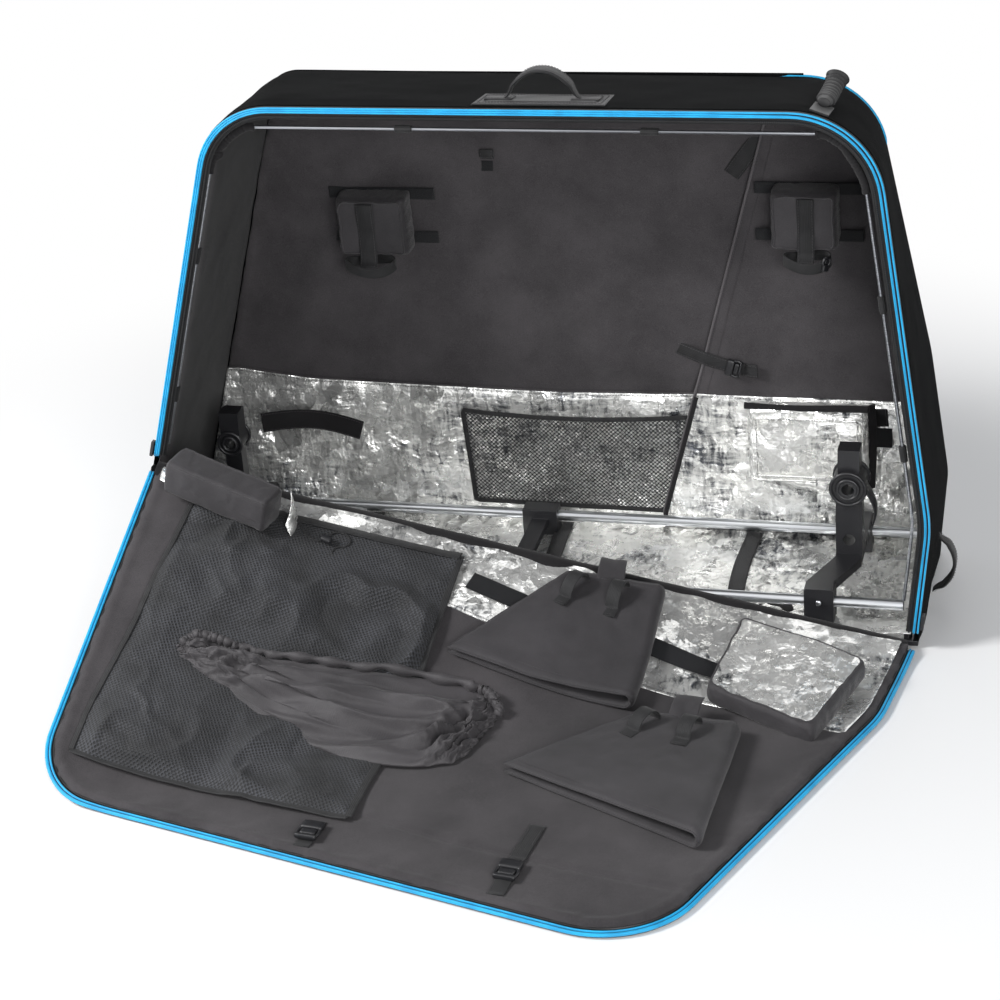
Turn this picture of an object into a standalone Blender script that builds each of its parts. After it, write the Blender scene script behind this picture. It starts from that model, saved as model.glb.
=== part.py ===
# Soft bike travel bag, standing open with its front door laid down on the floor.
# Lengths are in metres. The bag frame has x along the bag from its left foot, y into the bag from
# the plane of the front rim and z up from the floor. The world's origin is on the floor under the
# middle of the base.
import bpy
import bmesh
import math
from mathutils import Matrix, Vector

for leftover in list(bpy.data.objects):
    bpy.data.objects.remove(leftover, do_unlink=True)

# Overall sizes
bagLength = 1.200
bagHeight = 0.785
depthAtFloor = 0.305
depthAtTop = 0.262
originDepth = 0.150

# Walls, gaps and edges
wallThickness = 0.010
panelThickness = 0.010
seamGap = 0.0003
runGap = 0.001
overrun = 0.020
rimDepth = 0.012
rimWidth = 0.010
rimSetback = 0.001
lining = 0.0012

# Corners of the outlines: share of the length, share of the height, radius as a share of the height
frontCornerShares = (
    (0.0017, 0.0153, 0.0),
    (0.1833, 1.0, 0.1465),
    (0.9350, 1.0, 0.1605),
    (0.9790, 0.490, 0.60),
    (1.0, 0.250, 0.293),
    (0.9850, 0.0127, 0.0),
)
backCornerShares = (
    (0.0017, 0.0178, 0.0),
    (0.1850, 0.962, 0.0764),
    (0.9083, 0.955, 0.1465),
    (0.9767, 0.432, 0.60),
    (0.9983, 0.177, 0.150),
    (0.9900, 0.0191, 0.0),
)
cornerSteps = (8, 8, 2, 3)
seamShares = (0.292, 0.800)

# The door folds down on a slanting line, and on a crease that runs from the line's right end
foldLeftShares = (0.0567, 0.3057)
foldRightShares = (0.9850, 0.0127)
creaseRiseShare = 0.848
seamRadius = 0.0046
panelSetback = 0.005
creaseSetback = 0.0004


def vec2(x, z):
    return Vector((x, z))


def corners(shares):
    return [(x * bagLength, z * bagHeight, r * bagHeight) for x, z, r in shares]


frontCorners = corners(frontCornerShares)
backCorners = corners(backCornerShares)
foldLeft = Vector((foldLeftShares[0] * bagLength, 0, foldLeftShares[1] * bagHeight))
foldRight = Vector((foldRightShares[0] * bagLength, 0, panelThickness))
foldSlope = (foldLeft.z - foldRight.z) / (foldRight.x - foldLeft.x)
wallLean = math.atan2(depthAtFloor - depthAtTop, bagHeight)


# Height of the fold line over the floor at a place along the bag
def foldHeight(x):
    return foldRight.z + foldSlope * (foldRight.x - x)


# Depth of the back wall's inner face at a height
def wallDepth(z):
    return depthAtFloor + (depthAtTop - depthAtFloor) * z / bagHeight


# Crossing of two lines, each a point and a direction
def crossing(lineA, lineB):
    p, d = lineA
    q, e = lineB
    span = q - p
    along = (span.x * e.y - span.y * e.x) / (d.x * e.y - d.y * e.x)
    return p + d * along


# Line from a to b moved to its right, which is inward on an outline run clockwise
def insetLine(a, b, inset):
    d = (b - a).normalized()
    return a + Vector((d.y, -d.x)) * inset, d


def atHeight(line, z):
    p, d = line
    return p + d * ((z - p.y) / d.y)


# Rounded outline from the left foot over the top to the right foot, moved inward by the inset
def outlinePath(cornerList, inset, startHeight, endHeight):
    places = [vec2(c[0], c[1]) for c in cornerList]
    lines = [insetLine(a, b, inset) for a, b in zip(places, places[1:])]
    path = [atHeight(lines[0], startHeight)]
    for i in range(1, len(places) - 1):
        before, after = lines[i - 1], lines[i]
        corner = crossing(before, after)
        radius = cornerList[i][2] - inset
        turn = before[1].angle(after[1])
        inward = Vector((before[1].y, -before[1].x))
        centre = corner - before[1] * radius * math.tan(turn / 2) + inward * radius
        steps = cornerSteps[i - 1]
        for k in range(steps + 1):
            angle = -turn * k / steps
            c, s = math.cos(angle), math.sin(angle)
            spoke = Vector((inward.x * c - inward.y * s, inward.x * s + inward.y * c))
            path.append(centre - spoke * radius)
    path.append(atHeight(lines[-1], endHeight))
    return path


# Convex outline cut to the side of a line that its normal points to
def clipped(points, through, normal):
    kept = []
    for a, b in zip(points, points[1:] + points[:1]):
        da = (a - through).dot(normal)
        db = (b - through).dot(normal)
        if da >= 0:
            kept.append(a)
        if da * db < 0:
            kept.append(a + (b - a) * (da / (da - db)))
    return kept


# Place on a path where it passes a given x
def pointAtX(path, x):
    for a, b in zip(path, path[1:]):
        if (a.x - x) * (b.x - x) <= 0 and a.x != b.x:
            return a + (b - a) * ((x - a.x) / (b.x - a.x))


colors = {
    "shell": ((0.012, 0.013, 0.014), 0.85, 0.0),
    "liner": ((0.058, 0.053, 0.056), 0.80, 0.0),
    "foil": ((0.72, 0.73, 0.74), 0.22, 0.9),
    "blue": ((0.007, 0.376, 0.791), 0.55, 0.0),
    "webbing": ((0.014, 0.014, 0.016), 0.75, 0.0),
    "net": ((0.035, 0.038, 0.044), 0.80, 0.0),
    "aluminium": ((0.62, 0.63, 0.64), 0.32, 1.0),
    "plastic": ((0.016, 0.016, 0.018), 0.38, 0.0),
    "rubber": ((0.020, 0.020, 0.022), 0.60, 0.0),
    "steel": ((0.35, 0.36, 0.38), 0.35, 1.0),
}


def makeMaterial(name):
    base, roughness, metallic = colors[name]
    material = bpy.data.materials.new(name)
    material.use_nodes = True
    shader = material.node_tree.nodes["Principled BSDF"]
    shader.inputs["Base Color"].default_value = (*base, 1)
    shader.inputs["Roughness"].default_value = roughness
    shader.inputs["Metallic"].default_value = metallic
    material.diffuse_color = (*base, 1)
    return material


parts = bpy.data.collections.new("bike_travel_bag")
cutters = bpy.data.collections.new("cutters")
for collection in (parts, cutters):
    bpy.context.scene.collection.children.link(collection)


# An empty that carries pieces; origin is the place, in the pieces' own coordinates, where it stands
def makeFrame(name, origin, matrix, parent):
    frame = bpy.data.objects.new(name, None)
    parts.objects.link(frame)
    frame.empty_display_size = wallThickness
    frame.parent = parent
    frame.matrix_basis = matrix
    frame["origin"] = tuple(origin)
    return frame


bagFrame = makeFrame("bag_frame", (0, 0, 0), Matrix.Translation((-bagLength / 2, -originDepth, 0)), None)
wallFrame = makeFrame("wall_frame", (0, 0, 0),
                      Matrix.Translation((0, depthAtFloor, 0)) @ Matrix.Rotation(wallLean, 4, "X"), bagFrame)


# Frame on a joint's axis, for pieces that are written in the bag's coordinates
def makePivot(name, place):
    return makeFrame(name, place, Matrix.Translation(place), bagFrame)


# The door's two facets are written in the coordinates of the closed bag, and turned down from there
creaseClosed = Vector((-1, 0, creaseRiseShare)).normalized()
foldAcross = (foldLeft - foldRight).normalized()
creaseDrop = creaseClosed.dot(foldAcross)
# Down direction of the crease on the floor: level, and at the same angle to the fold line as when closed
creaseRestX = creaseDrop / foldAcross.x
creaseRest = Vector((creaseRestX, -math.sqrt(1 - creaseRestX ** 2), 0))
lowerNormalRest = creaseRest.cross(foldAcross).normalized()
lowerNormalRest = lowerNormalRest if lowerNormalRest.z > 0 else -lowerNormalRest


# Rotation that takes one right-handed pair of directions to another
def rotationBetween(firstFrom, secondFrom, firstTo, secondTo):
    a = Matrix((firstFrom, secondFrom, firstFrom.cross(secondFrom))).transposed()
    b = Matrix((firstTo, secondTo, firstTo.cross(secondTo))).transposed()
    return (b @ a.inverted()).to_4x4()


inward = Vector((0, 1, 0))
up = Vector((0, 0, 1))
lowerTurn = rotationBetween(foldAcross, inward, foldAcross, lowerNormalRest)
upperTurn = rotationBetween(creaseClosed, inward, creaseRest, up)
lowerFrame = makeFrame("door_lower_frame", foldRight, Matrix.Translation(foldRight) @ lowerTurn, bagFrame)
upperFrame = makeFrame("door_upper_frame", foldRight, Matrix.Translation(foldRight) @ upperTurn, bagFrame)
creaseAngle = lowerNormalRest.angle(up)
creaseNormal = vec2(creaseClosed.z, -creaseClosed.x)
creasePoint = vec2(foldRight.x, foldRight.z)


# Height that a piece carried by one facet needs so that it clears the other facet past the crease
def creaseLift(frame, x, z):
    past = (vec2(x, z) - creasePoint).dot(creaseNormal)
    if frame == upperFrame:
        past = -past
    return max(past, 0) * math.tan(creaseAngle)


# Gives an object its name, material, collection and frame
def place(piece, name, material, frame, collection=parts):
    piece.name = name
    collection.objects.link(piece)
    piece.parent = frame
    piece.matrix_parent_inverse = Matrix.Translation(-Vector(frame["origin"]))
    if collection == cutters:
        piece.hide_render = True
        piece.display_type = "WIRE"
    else:
        piece.data.materials.append(materials[material])
    return piece


materials = {name: makeMaterial(name) for name in colors}

# Turns that lay a flat outline's own x and y on two axes of the frame, and its depth on the third
outlineTurns = {
    "y": Matrix(((1, 0, 0), (0, 0, -1), (0, 1, 0))).to_4x4(),
    "x": Matrix(((0, 0, 1), (1, 0, 0), (0, 1, 0))).to_4x4(),
    "z": Matrix.Identity(4),
}


# Flat outline with thickness: loops lie in XZ for axis y, in YZ for axis x and in XY for axis z
def slab(name, loops, low, high, material, frame, axis="y", collection=parts, turn=None):
    curve = bpy.data.curves.new(name, "CURVE")
    curve.dimensions = "2D"
    curve.fill_mode = "BOTH"
    curve.extrude = (high - low) / 2
    for loop in loops:
        spline = curve.splines.new("POLY")
        spline.points.add(len(loop) - 1)
        spline.use_cyclic_u = True
        for point, (a, b) in zip(spline.points, loop):
            point.co = (a, b, 0, 1)
    piece = bpy.data.objects.new(name, curve)
    centre = (low + high) / 2
    shift = {"x": (centre, 0, 0), "y": (0, centre, 0), "z": (0, 0, centre)}[axis]
    piece.matrix_basis = (turn or Matrix.Identity(4)) @ Matrix.Translation(shift) @ outlineTurns[axis]
    return place(piece, name, material, frame, collection)


def rectangle(x0, x1, z0, z1):
    return [vec2(x0, z0), vec2(x1, z0), vec2(x1, z1), vec2(x0, z1)]


# Rectangle with its corners rounded
def roundRectangle(x0, x1, z0, z1, radius, steps=3):
    loop = []
    for cx, cz, start in ((x1 - radius, z0 + radius, -90), (x1 - radius, z1 - radius, 0),
                          (x0 + radius, z1 - radius, 90), (x0 + radius, z0 + radius, 180)):
        for k in range(steps + 1):
            angle = math.radians(start + 90 * k / steps)
            loop.append(vec2(cx + radius * math.cos(angle), cz + radius * math.sin(angle)))
    return loop


# Band of even thickness along an open path, as a closed outline
def bandLoop(path, thickness):
    left, right = [], []
    for i, p in enumerate(path):
        before = path[max(i - 1, 0)]
        after = path[min(i + 1, len(path) - 1)]
        d = (after - before).normalized()
        side = Vector((-d.y, d.x)) * thickness / 2
        left.append(p + side)
        right.append(p - side)
    return left + right[::-1]


# Mesh object from points and faces, with its faces turned outward
def meshPiece(name, points, faces, material, frame, collection=parts):
    mesh = bpy.data.meshes.new(name)
    mesh.from_pydata([tuple(p) for p in points], [], faces)
    work = bmesh.new()
    work.from_mesh(mesh)
    bmesh.ops.recalc_face_normals(work, faces=work.faces)
    work.to_mesh(mesh)
    work.free()
    return place(bpy.data.objects.new(name, mesh), name, material, frame, collection)


# Closed solid through rows that are each a closed ring of points
def loftRings(name, rings, material, frame, collection=parts):
    count = len(rings[0])
    points = [p for ring in rings for p in ring]
    faces = []
    for r in range(len(rings) - 1):
        for k in range(count):
            n = (k + 1) % count
            faces.append((r * count + k, r * count + n, (r + 1) * count + n, (r + 1) * count + k))
    faces.append(tuple(range(count)))
    faces.append(tuple((len(rings) - 1) * count + k for k in range(count)))
    return meshPiece(name, points, faces, material, frame, collection)


# Box between two corners, with its edges rounded if a radius is given
def box(name, low, high, material, frame, collection=parts, edge=0, turn=None):
    mesh = bpy.data.meshes.new(name)
    work = bmesh.new()
    bmesh.ops.create_cube(work, size=1)
    size = Vector(high) - Vector(low)
    middle = (Vector(high) + Vector(low)) / 2
    for v in work.verts:
        v.co = Vector((v.co.x * size.x, v.co.y * size.y, v.co.z * size.z))
    work.to_mesh(mesh)
    work.free()
    piece = place(bpy.data.objects.new(name, mesh), name, material, frame, collection)
    piece.matrix_basis = (turn or Matrix.Identity(4)) @ Matrix.Translation(middle)
    if edge:
        roundEdges(piece, edge)
    return piece


def roundEdges(piece, edge, segments=2):
    bevel = piece.modifiers.new("edges", "BEVEL")
    bevel.width = edge
    bevel.segments = segments
    bevel.limit_method = "ANGLE"
    bevel.angle_limit = math.radians(40)
    return piece


# Round bar along X, Y or Z
def bar(name, centre, radius, length, axis, material, frame, collection=parts, sides=24):
    mesh = bpy.data.meshes.new(name)
    work = bmesh.new()
    bmesh.ops.create_cone(work, cap_ends=True, segments=sides, radius1=radius, radius2=radius, depth=length)
    work.to_mesh(mesh)
    work.free()
    piece = place(bpy.data.objects.new(name, mesh), name, material, frame, collection)
    turns = {"x": Matrix.Rotation(math.pi / 2, 4, "Y"), "y": Matrix.Rotation(math.pi / 2, 4, "X"),
             "z": Matrix.Identity(4)}
    piece.matrix_basis = Matrix.Translation(centre) @ turns[axis]
    mesh.shade_smooth()
    mesh.set_sharp_from_angle(angle=math.radians(40))
    return piece


# Tube along points in the frame
def tube(name, points, radius, material, frame, collection=parts, resolution=3):
    curve = bpy.data.curves.new(name, "CURVE")
    curve.dimensions = "3D"
    curve.bevel_depth = radius
    curve.bevel_resolution = resolution
    curve.use_fill_caps = True
    spline = curve.splines.new("POLY")
    spline.points.add(len(points) - 1)
    for point, co in zip(spline.points, points):
        point.co = (*co, 1)
    return place(bpy.data.objects.new(name, curve), name, material, frame, collection)


# Ring turned round the Y axis through a place, from its outline in radius and depth
def turnedY(name, centre, profile, material, frame, steps=32):
    mesh = bpy.data.meshes.new(name)
    points = [(r, 0, h) for r, h in profile]
    edges = [(i, (i + 1) % len(points)) for i in range(len(points))]
    mesh.from_pydata(points, edges, [])
    piece = place(bpy.data.objects.new(name, mesh), name, material, frame)
    piece.matrix_basis = Matrix.Translation(centre) @ Matrix.Rotation(math.pi / 2, 4, "X")
    screw = piece.modifiers.new("turn", "SCREW")
    screw.steps = steps
    screw.render_steps = steps
    screw.use_merge_vertices = True
    screw.merge_threshold = seamGap / 10
    screw.use_smooth_shade = True
    return piece


# Turns a curve object into a solid mesh object, ready to be cut and joined
def asMesh(piece):
    if piece.type == "MESH":
        return piece
    bpy.context.view_layer.update()
    evaluated = piece.evaluated_get(bpy.context.evaluated_depsgraph_get())
    mesh = bpy.data.meshes.new_from_object(evaluated)
    work = bmesh.new()
    work.from_mesh(mesh)
    bmesh.ops.remove_doubles(work, verts=work.verts, dist=seamGap / 100)
    work.to_mesh(mesh)
    work.free()
    name = piece.name
    solid = bpy.data.objects.new(name, mesh)
    for collection in piece.users_collection:
        collection.objects.link(solid)
    solid.parent = piece.parent
    solid.matrix_parent_inverse = piece.matrix_parent_inverse.copy()
    solid.matrix_basis = piece.matrix_basis.copy()
    solid.hide_render = piece.hide_render
    solid.display_type = piece.display_type
    bpy.data.objects.remove(piece, do_unlink=True)
    solid.name = name
    return solid


def combine(target, tool, operation):
    target = asMesh(target)
    tool = asMesh(tool)
    step = target.modifiers.new(operation.lower(), "BOOLEAN")
    step.operation = operation
    step.object = tool
    return target


def cut(target, *tools):
    for tool in tools:
        target = combine(target, tool, "DIFFERENCE")
    return target


def join(target, *tools):
    for tool in tools:
        target = combine(target, tool, "UNION")
    return target


# Base: board, skids and foam floor
skid = {"height": 0.004, "width": 0.022, "inset": 0.060, "tie": 0.030}
board = {"thickness": 0.008}
floorPad = {"thickness": 0.0075, "edge": 0.004}
housing = {"length": 0.088, "height": 0.083, "nose": 0.004, "foot": 0.004}
baseBottom = skid["height"] + seamGap
baseTop = baseBottom + board["thickness"]
floorLow = baseTop + seamGap
floorTop = floorLow + floorPad["thickness"]
bodyFront = rimDepth + seamGap


# Ground-plan outline of a floor layer between two x, from the front to the back wall at its top
def floorPlan(x0, x1, margin, topHeight):
    back = wallDepth(topHeight) - margin
    return rectangle(x0, x1, bodyFront + margin, back)


def makeBase():
    start = housing["length"] + seamGap
    slab("base_board", [floorPlan(start, frontCorners[-1][0], seamGap, baseTop)],
         baseBottom, baseTop, "plastic", bagFrame, "z")
    x0 = start + skid["inset"]
    x1 = foldRight.x - skid["inset"]
    halfWidth = skid["width"] / 2
    offset = originDepth - bodyFront - skid["inset"] / 2
    outer = rectangle(x0, x1, originDepth - offset, originDepth + offset)
    windows = []
    bays = 2
    bayLength = (x1 - x0 - skid["tie"]) / bays
    for k in range(bays):
        left = x0 + skid["tie"] + k * bayLength
        right = left + bayLength - skid["tie"]
        windows.append(rectangle(left, right, originDepth - offset + skid["width"], originDepth - halfWidth))
        windows.append(rectangle(left, right, originDepth + halfWidth, originDepth + offset - skid["width"]))
    slab("skid_frame", [outer] + windows, 0, skid["height"], "plastic", bagFrame, "z")
    rightInside = frontCorners[-1][0] - wallThickness - floorPad["edge"]
    slab("floor_pad", [floorPlan(start + floorPad["edge"], rightInside, floorPad["edge"], floorTop)],
         floorLow, floorTop, "foil", bagFrame, "z")


# Wheels at the left end, on one axle in a moulded corner
wheel = {"radius": 0.033, "width": 0.026, "bore": 0.0045, "ground": 0.001, "clearance": 0.003, "hub": 0.013,
         "hubStep": 0.003, "edge": 0.004}
axleRadius = 0.004
axleEnd = 0.012
wheelInset = 0.060
wheelCentre = (wheel["radius"] + wheel["ground"], wheel["radius"] + wheel["ground"])
wheelDepths = (bodyFront + wheelInset, depthAtFloor - wheelInset)


def leftEdge(z, inset=0):
    line = insetLine(vec2(*frontCorners[0][:2]), vec2(*frontCorners[1][:2]), inset)
    return atHeight(line, z).x


def makeWheels():
    top = housing["height"]
    loop = [vec2(housing["nose"], housing["foot"]), vec2(leftEdge(top), top), vec2(housing["length"], top),
            vec2(housing["length"], housing["foot"])]
    body = slab("wheel_housing", [loop], bodyFront, wallDepth(top) - lining - 3 * seamGap, "plastic", bagFrame)
    for i, depth in enumerate(wheelDepths):
        half = wheel["width"] / 2 + wheel["clearance"]
        body = cut(body, bar(f"wheel_bay_{i}", (wheelCentre[0], depth, wheelCentre[1]),
                             wheel["radius"] + wheel["clearance"], 2 * half, "y", None, bagFrame, cutters, 32))
    axleFront = wheelDepths[0] - wheel["width"] / 2 - wheel["clearance"] - axleEnd
    axleBack = wheelDepths[1] + wheel["width"] / 2 + wheel["clearance"] + axleEnd
    middle = (wheelCentre[0], (axleFront + axleBack) / 2, wheelCentre[1])
    body = cut(body, bar("axle_bore", middle, axleRadius + seamGap, axleBack - axleFront + 2 * seamGap, "y",
                         None, bagFrame, cutters))
    bar("wheel_axle", middle, axleRadius, axleBack - axleFront, "y", "steel", bagFrame)
    r, h, e = wheel["radius"], wheel["width"] / 2, wheel["edge"]
    s = wheel["hubStep"]
    profile = [(wheel["bore"], h), (wheel["hub"], h), (wheel["hub"], h - s), (r - 2 * e, h - s), (r - 2 * e, h),
               (r - e, h), (r, h - e), (r, -h + e), (r - e, -h), (r - 2 * e, -h), (r - 2 * e, -h + s),
               (wheel["hub"], -h + s), (wheel["hub"], -h), (wheel["bore"], -h)]
    for name, depth in zip(("wheel_front", "wheel_rear"), wheelDepths):
        spot = Vector((wheelCentre[0], depth, wheelCentre[1]))
        turnedY(name, spot, profile, "rubber", makePivot(name + "_axis", spot))


# Shell: gussets round the sides and top, front and back panels, blue edges
pipingRadius = 0.004


def gussetRows(start, end):
    outerFront = outlinePath(frontCorners, 0, start, end)
    outerBack = outlinePath(backCorners, 0, start, end)
    innerFront = outlinePath(frontCorners, wallThickness, start, end)
    innerBack = outlinePath(backCorners, wallThickness, start, end)
    return outerFront, outerBack, innerFront, innerBack


# Part of a path between two x on its top stretch; None keeps the path to that side's foot
def section(path, fromX, toX):
    topCount = cornerSteps[0] + 2
    left, right = path[:topCount], path[topCount:]
    if fromX is None:
        return left + [pointAtX(path, toX)]
    if toX is None:
        return [pointAtX(path, fromX)] + right
    middle = (fromX + toX) / 2
    return [pointAtX(path, fromX), pointAtX(path, middle), pointAtX(path, toX)]


# Wall between an outer and an inner path, from the front to the back wall
def gusset(name, paths, fromX, toX):
    rows = 3
    outerFront, outerBack, innerFront, innerBack = [section(p, fromX, toX) for p in paths]
    rings = []
    for k in range(len(outerFront)):
        ring = []
        for front, back, order in ((outerFront, outerBack, range(rows + 1)),
                                   (innerFront, innerBack, range(rows, -1, -1))):
            for r in order:
                t = r / rows
                p = front[k].lerp(back[k], t)
                depth = bodyFront + (wallDepth(back[k].y) - seamGap - bodyFront) * t
                ring.append((p.x, depth, p.y))
        rings.append(ring)
    return loftRings(name, rings, "shell", bagFrame)


def makeShell():
    paths = gussetRows(housing["height"] + seamGap, baseTop + seamGap)
    seams = [share * bagLength for share in seamShares]
    half = seamGap / 2
    gusset("gusset_left", paths, None, seams[0] - half)
    gusset("gusset_top", paths, seams[0] + half, seams[1] - half)
    gusset("gusset_right", paths, seams[1] + half, None)
    lean = math.cos(wallLean)
    back = outlinePath(backCorners, 0, baseBottom, baseBottom)
    slab("back_panel", [[vec2(p.x, p.y / lean) for p in back]], 0, wallThickness, "shell", wallFrame)
    drop = (panelSetback + seamGap) * math.sqrt(1 + foldSlope ** 2)
    tip = foldRight.x - overrun
    front = [vec2(leftEdge(housing["foot"]), housing["foot"])]
    topLeft = crossing(insetLine(vec2(*frontCorners[0][:2]), vec2(*frontCorners[1][:2]), 0),
                       (vec2(0, foldHeight(0) - drop), vec2(1, -foldSlope)))
    front += [topLeft, vec2(tip, foldHeight(tip) - drop), vec2(tip, housing["foot"])]
    slab("front_panel", [front], rimSetback, rimDepth, "shell", bagFrame)
    seamEnd = foldAcross * panelSetback
    tube("hinge_seam", [foldRight + seamEnd, foldLeft - seamEnd], seamRadius, "webbing", bagFrame)
    rim = {"start": foldLeft.z + panelSetback, "end": baseTop + panelSetback}
    outer = outlinePath(frontCorners, 0, rim["start"], rim["end"])
    inner = outlinePath(frontCorners, rimWidth, rim["start"], rim["end"])
    slab("rim_piping", [outer + inner[::-1]], rimSetback, rimDepth, "blue", bagFrame)
    edge = outlinePath(backCorners, -pipingRadius - seamGap, housing["height"], floorTop)
    tube("back_piping", [(p.x, wallThickness / 2, p.y / lean) for p in edge], pipingRadius, "blue", wallFrame,
         resolution=1)


# Rods that hold the opening in shape, and the sleeves over their corners
rod = {"radius": 0.0025, "depth": 0.020, "leftInset": 0.016, "topInset": 0.034, "rightInset": 0.027,
       "sleeveRadius": 0.0055, "straight": 0.010}
rodTopShares = (0.235, 0.870)
rodLeftShares = (0.338, 0.872)
rodRightShares = (0.093, 0.855)
sleeveBendShare = 0.6


# Curve from a to b that leaves and arrives along the lines to the control point
def bend(a, control, b, steps):
    points = []
    for k in range(steps + 1):
        t = k / steps
        points.append(a * (1 - t) ** 2 + control * (2 * t * (1 - t)) + b * t ** 2)
    return points


def makeRods():
    depth = rod["depth"]

    def inPlane(points):
        return [(p.x, depth, p.y) for p in points]

    topHeight = bagHeight - rod["topInset"]
    topLeft = vec2(rodTopShares[0] * bagLength, topHeight)
    topRight = vec2(rodTopShares[1] * bagLength, topHeight)
    tube("rod_top", inPlane([topLeft, topRight]), rod["radius"], "steel", bagFrame)
    leftLine = insetLine(vec2(*frontCorners[0][:2]), vec2(*frontCorners[1][:2]), rod["leftInset"])
    leftLow = atHeight(leftLine, rodLeftShares[0] * bagHeight)
    leftHigh = atHeight(leftLine, rodLeftShares[1] * bagHeight)
    tube("rod_left", inPlane([leftLow, leftHigh]), rod["radius"], "steel", bagFrame)
    low, high = rodRightShares[0] * bagHeight, rodRightShares[1] * bagHeight
    rightPath = outlinePath(frontCorners, rod["rightInset"], low, low)
    run = [p for p in rightPath if p.x > topRight.x and p.y < high]
    upperLine = insetLine(vec2(*frontCorners[2][:2]), vec2(*frontCorners[3][:2]), rod["rightInset"])
    rightHigh = atHeight(upperLine, high)
    tube("rod_right", inPlane([rightHigh] + run), rod["radius"], "steel", bagFrame)
    gap = seamGap
    for name, top, side, line in (("corner_sleeve_left", topLeft - vec2(gap, 0), leftHigh, leftLine),
                                  ("corner_sleeve_right", topRight + vec2(gap, 0), rightHigh, upperLine)):
        corner = crossing((top, vec2(1, 0)), line)
        control = ((top + side) / 2).lerp(corner, sleeveBendShare)
        rise = (corner - side).normalized()
        start = side + rise * gap
        run = (corner - top).normalized() * rod["straight"]
        curve = bend(top + run, control, start + rise * rod["straight"], 8)
        tube(name, inPlane([top] + curve + [start]), rod["sleeveRadius"], "liner", bagFrame)


# Rails along the floor, and the bridge clamped to them at the middle
rail = {"radius": 0.008, "height": 0.053, "frontDepth": 0.041, "rearDepth": 0.261, "fit": 0.0006}
railShares = (0.080, 0.966)
railStart = railShares[0] * bagLength
railEnd = railShares[1] * bagLength
saddle = {"half": 0.0145, "foot": 0.0245, "top": 0.0665, "edge": 0.002}
bridge = {"width": 0.054, "arm": 0.026, "armLow": 0.040, "armHigh": 0.052, "reach": 0.084}
bridgeCentreShare = 0.487


def railBore(name, x, width, depth):
    return bar(name, (x, depth, rail["height"]), rail["radius"] + rail["fit"], width + 2 * overrun, "x", None,
               bagFrame, cutters)


def makeRails():
    middle = (railStart + railEnd) / 2
    for name, depth in (("rail_front", rail["frontDepth"]), ("rail_rear", rail["rearDepth"])):
        bar(name, (middle, depth, rail["height"]), rail["radius"], railEnd - railStart, "x", "aluminium", bagFrame)
    x = bridgeCentreShare * bagLength
    half = bridge["width"] / 2
    strapTop = floorTop + strapThickness + seamGap
    body = box("centre_bridge", (x - half, rail["rearDepth"] - saddle["half"], strapTop),
               (x + half, rail["rearDepth"] + saddle["half"], saddle["top"]), "plastic", bagFrame)
    arm = box("bridge_arm", (x - bridge["arm"] / 2, bridge["reach"], bridge["armLow"]),
              (x + bridge["arm"] / 2, rail["rearDepth"], bridge["armHigh"]), None, bagFrame, cutters)
    foot = box("bridge_foot", (x - bridge["arm"] / 2, bridge["reach"], strapTop),
               (x + bridge["arm"] / 2, bridge["reach"] + saddle["half"], bridge["armHigh"]), None, bagFrame,
               cutters)
    body = join(body, arm, foot)
    cut(body, railBore("bridge_bore", x, bridge["width"], rail["rearDepth"]))


# Webbing straps that lie across the floor under the rails
strapThickness = 0.0018
floorStrapWidth = 0.025
floorStrapShares = (("floor_strap_left", 0.245), ("floor_strap_centre", 0.505), ("floor_strap_right", 0.748))
floorStrapDepthShares = (0.16, 0.95)


def makeFloorStraps():
    low = floorTop + seamGap
    for name, share in floorStrapShares:
        x = share * bagLength
        y0, y1 = (s * depthAtFloor for s in floorStrapDepthShares)
        slab(name, [rectangle(x, x + floorStrapWidth, y0, y1)], low, low + strapThickness - seamGap, "webbing",
             bagFrame, "z")


# Stands that slide along the rails and hold the bike by its dropouts
standDepth = 0.150
standRightShare = 0.8925
standLeftShare = 0.1167
standRight = {"x": standRightShare * bagLength,
              "hubHeight": 0.188, "hubRadius": 0.0245, "hubBore": 0.012, "hubWidth": 0.044,
              "postWidth": 0.038, "postThickness": 0.024, "holeHeight": 0.092, "holeRadius": 0.009,
              "blockWidth": 0.031, "blockTop": 0.245, "armHeight": 0.014}
standLeft = {"x": standLeftShare * bagLength,
             "hubHeight": 0.214, "hubRadius": 0.017, "hubBore": 0.008, "hubWidth": 0.036,
             "postWidth": 0.026, "postThickness": 0.022, "holeHeight": 0.0, "holeRadius": 0.0,
             "blockWidth": 0.030, "blockTop": 0.262, "armHeight": 0.014}


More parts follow.
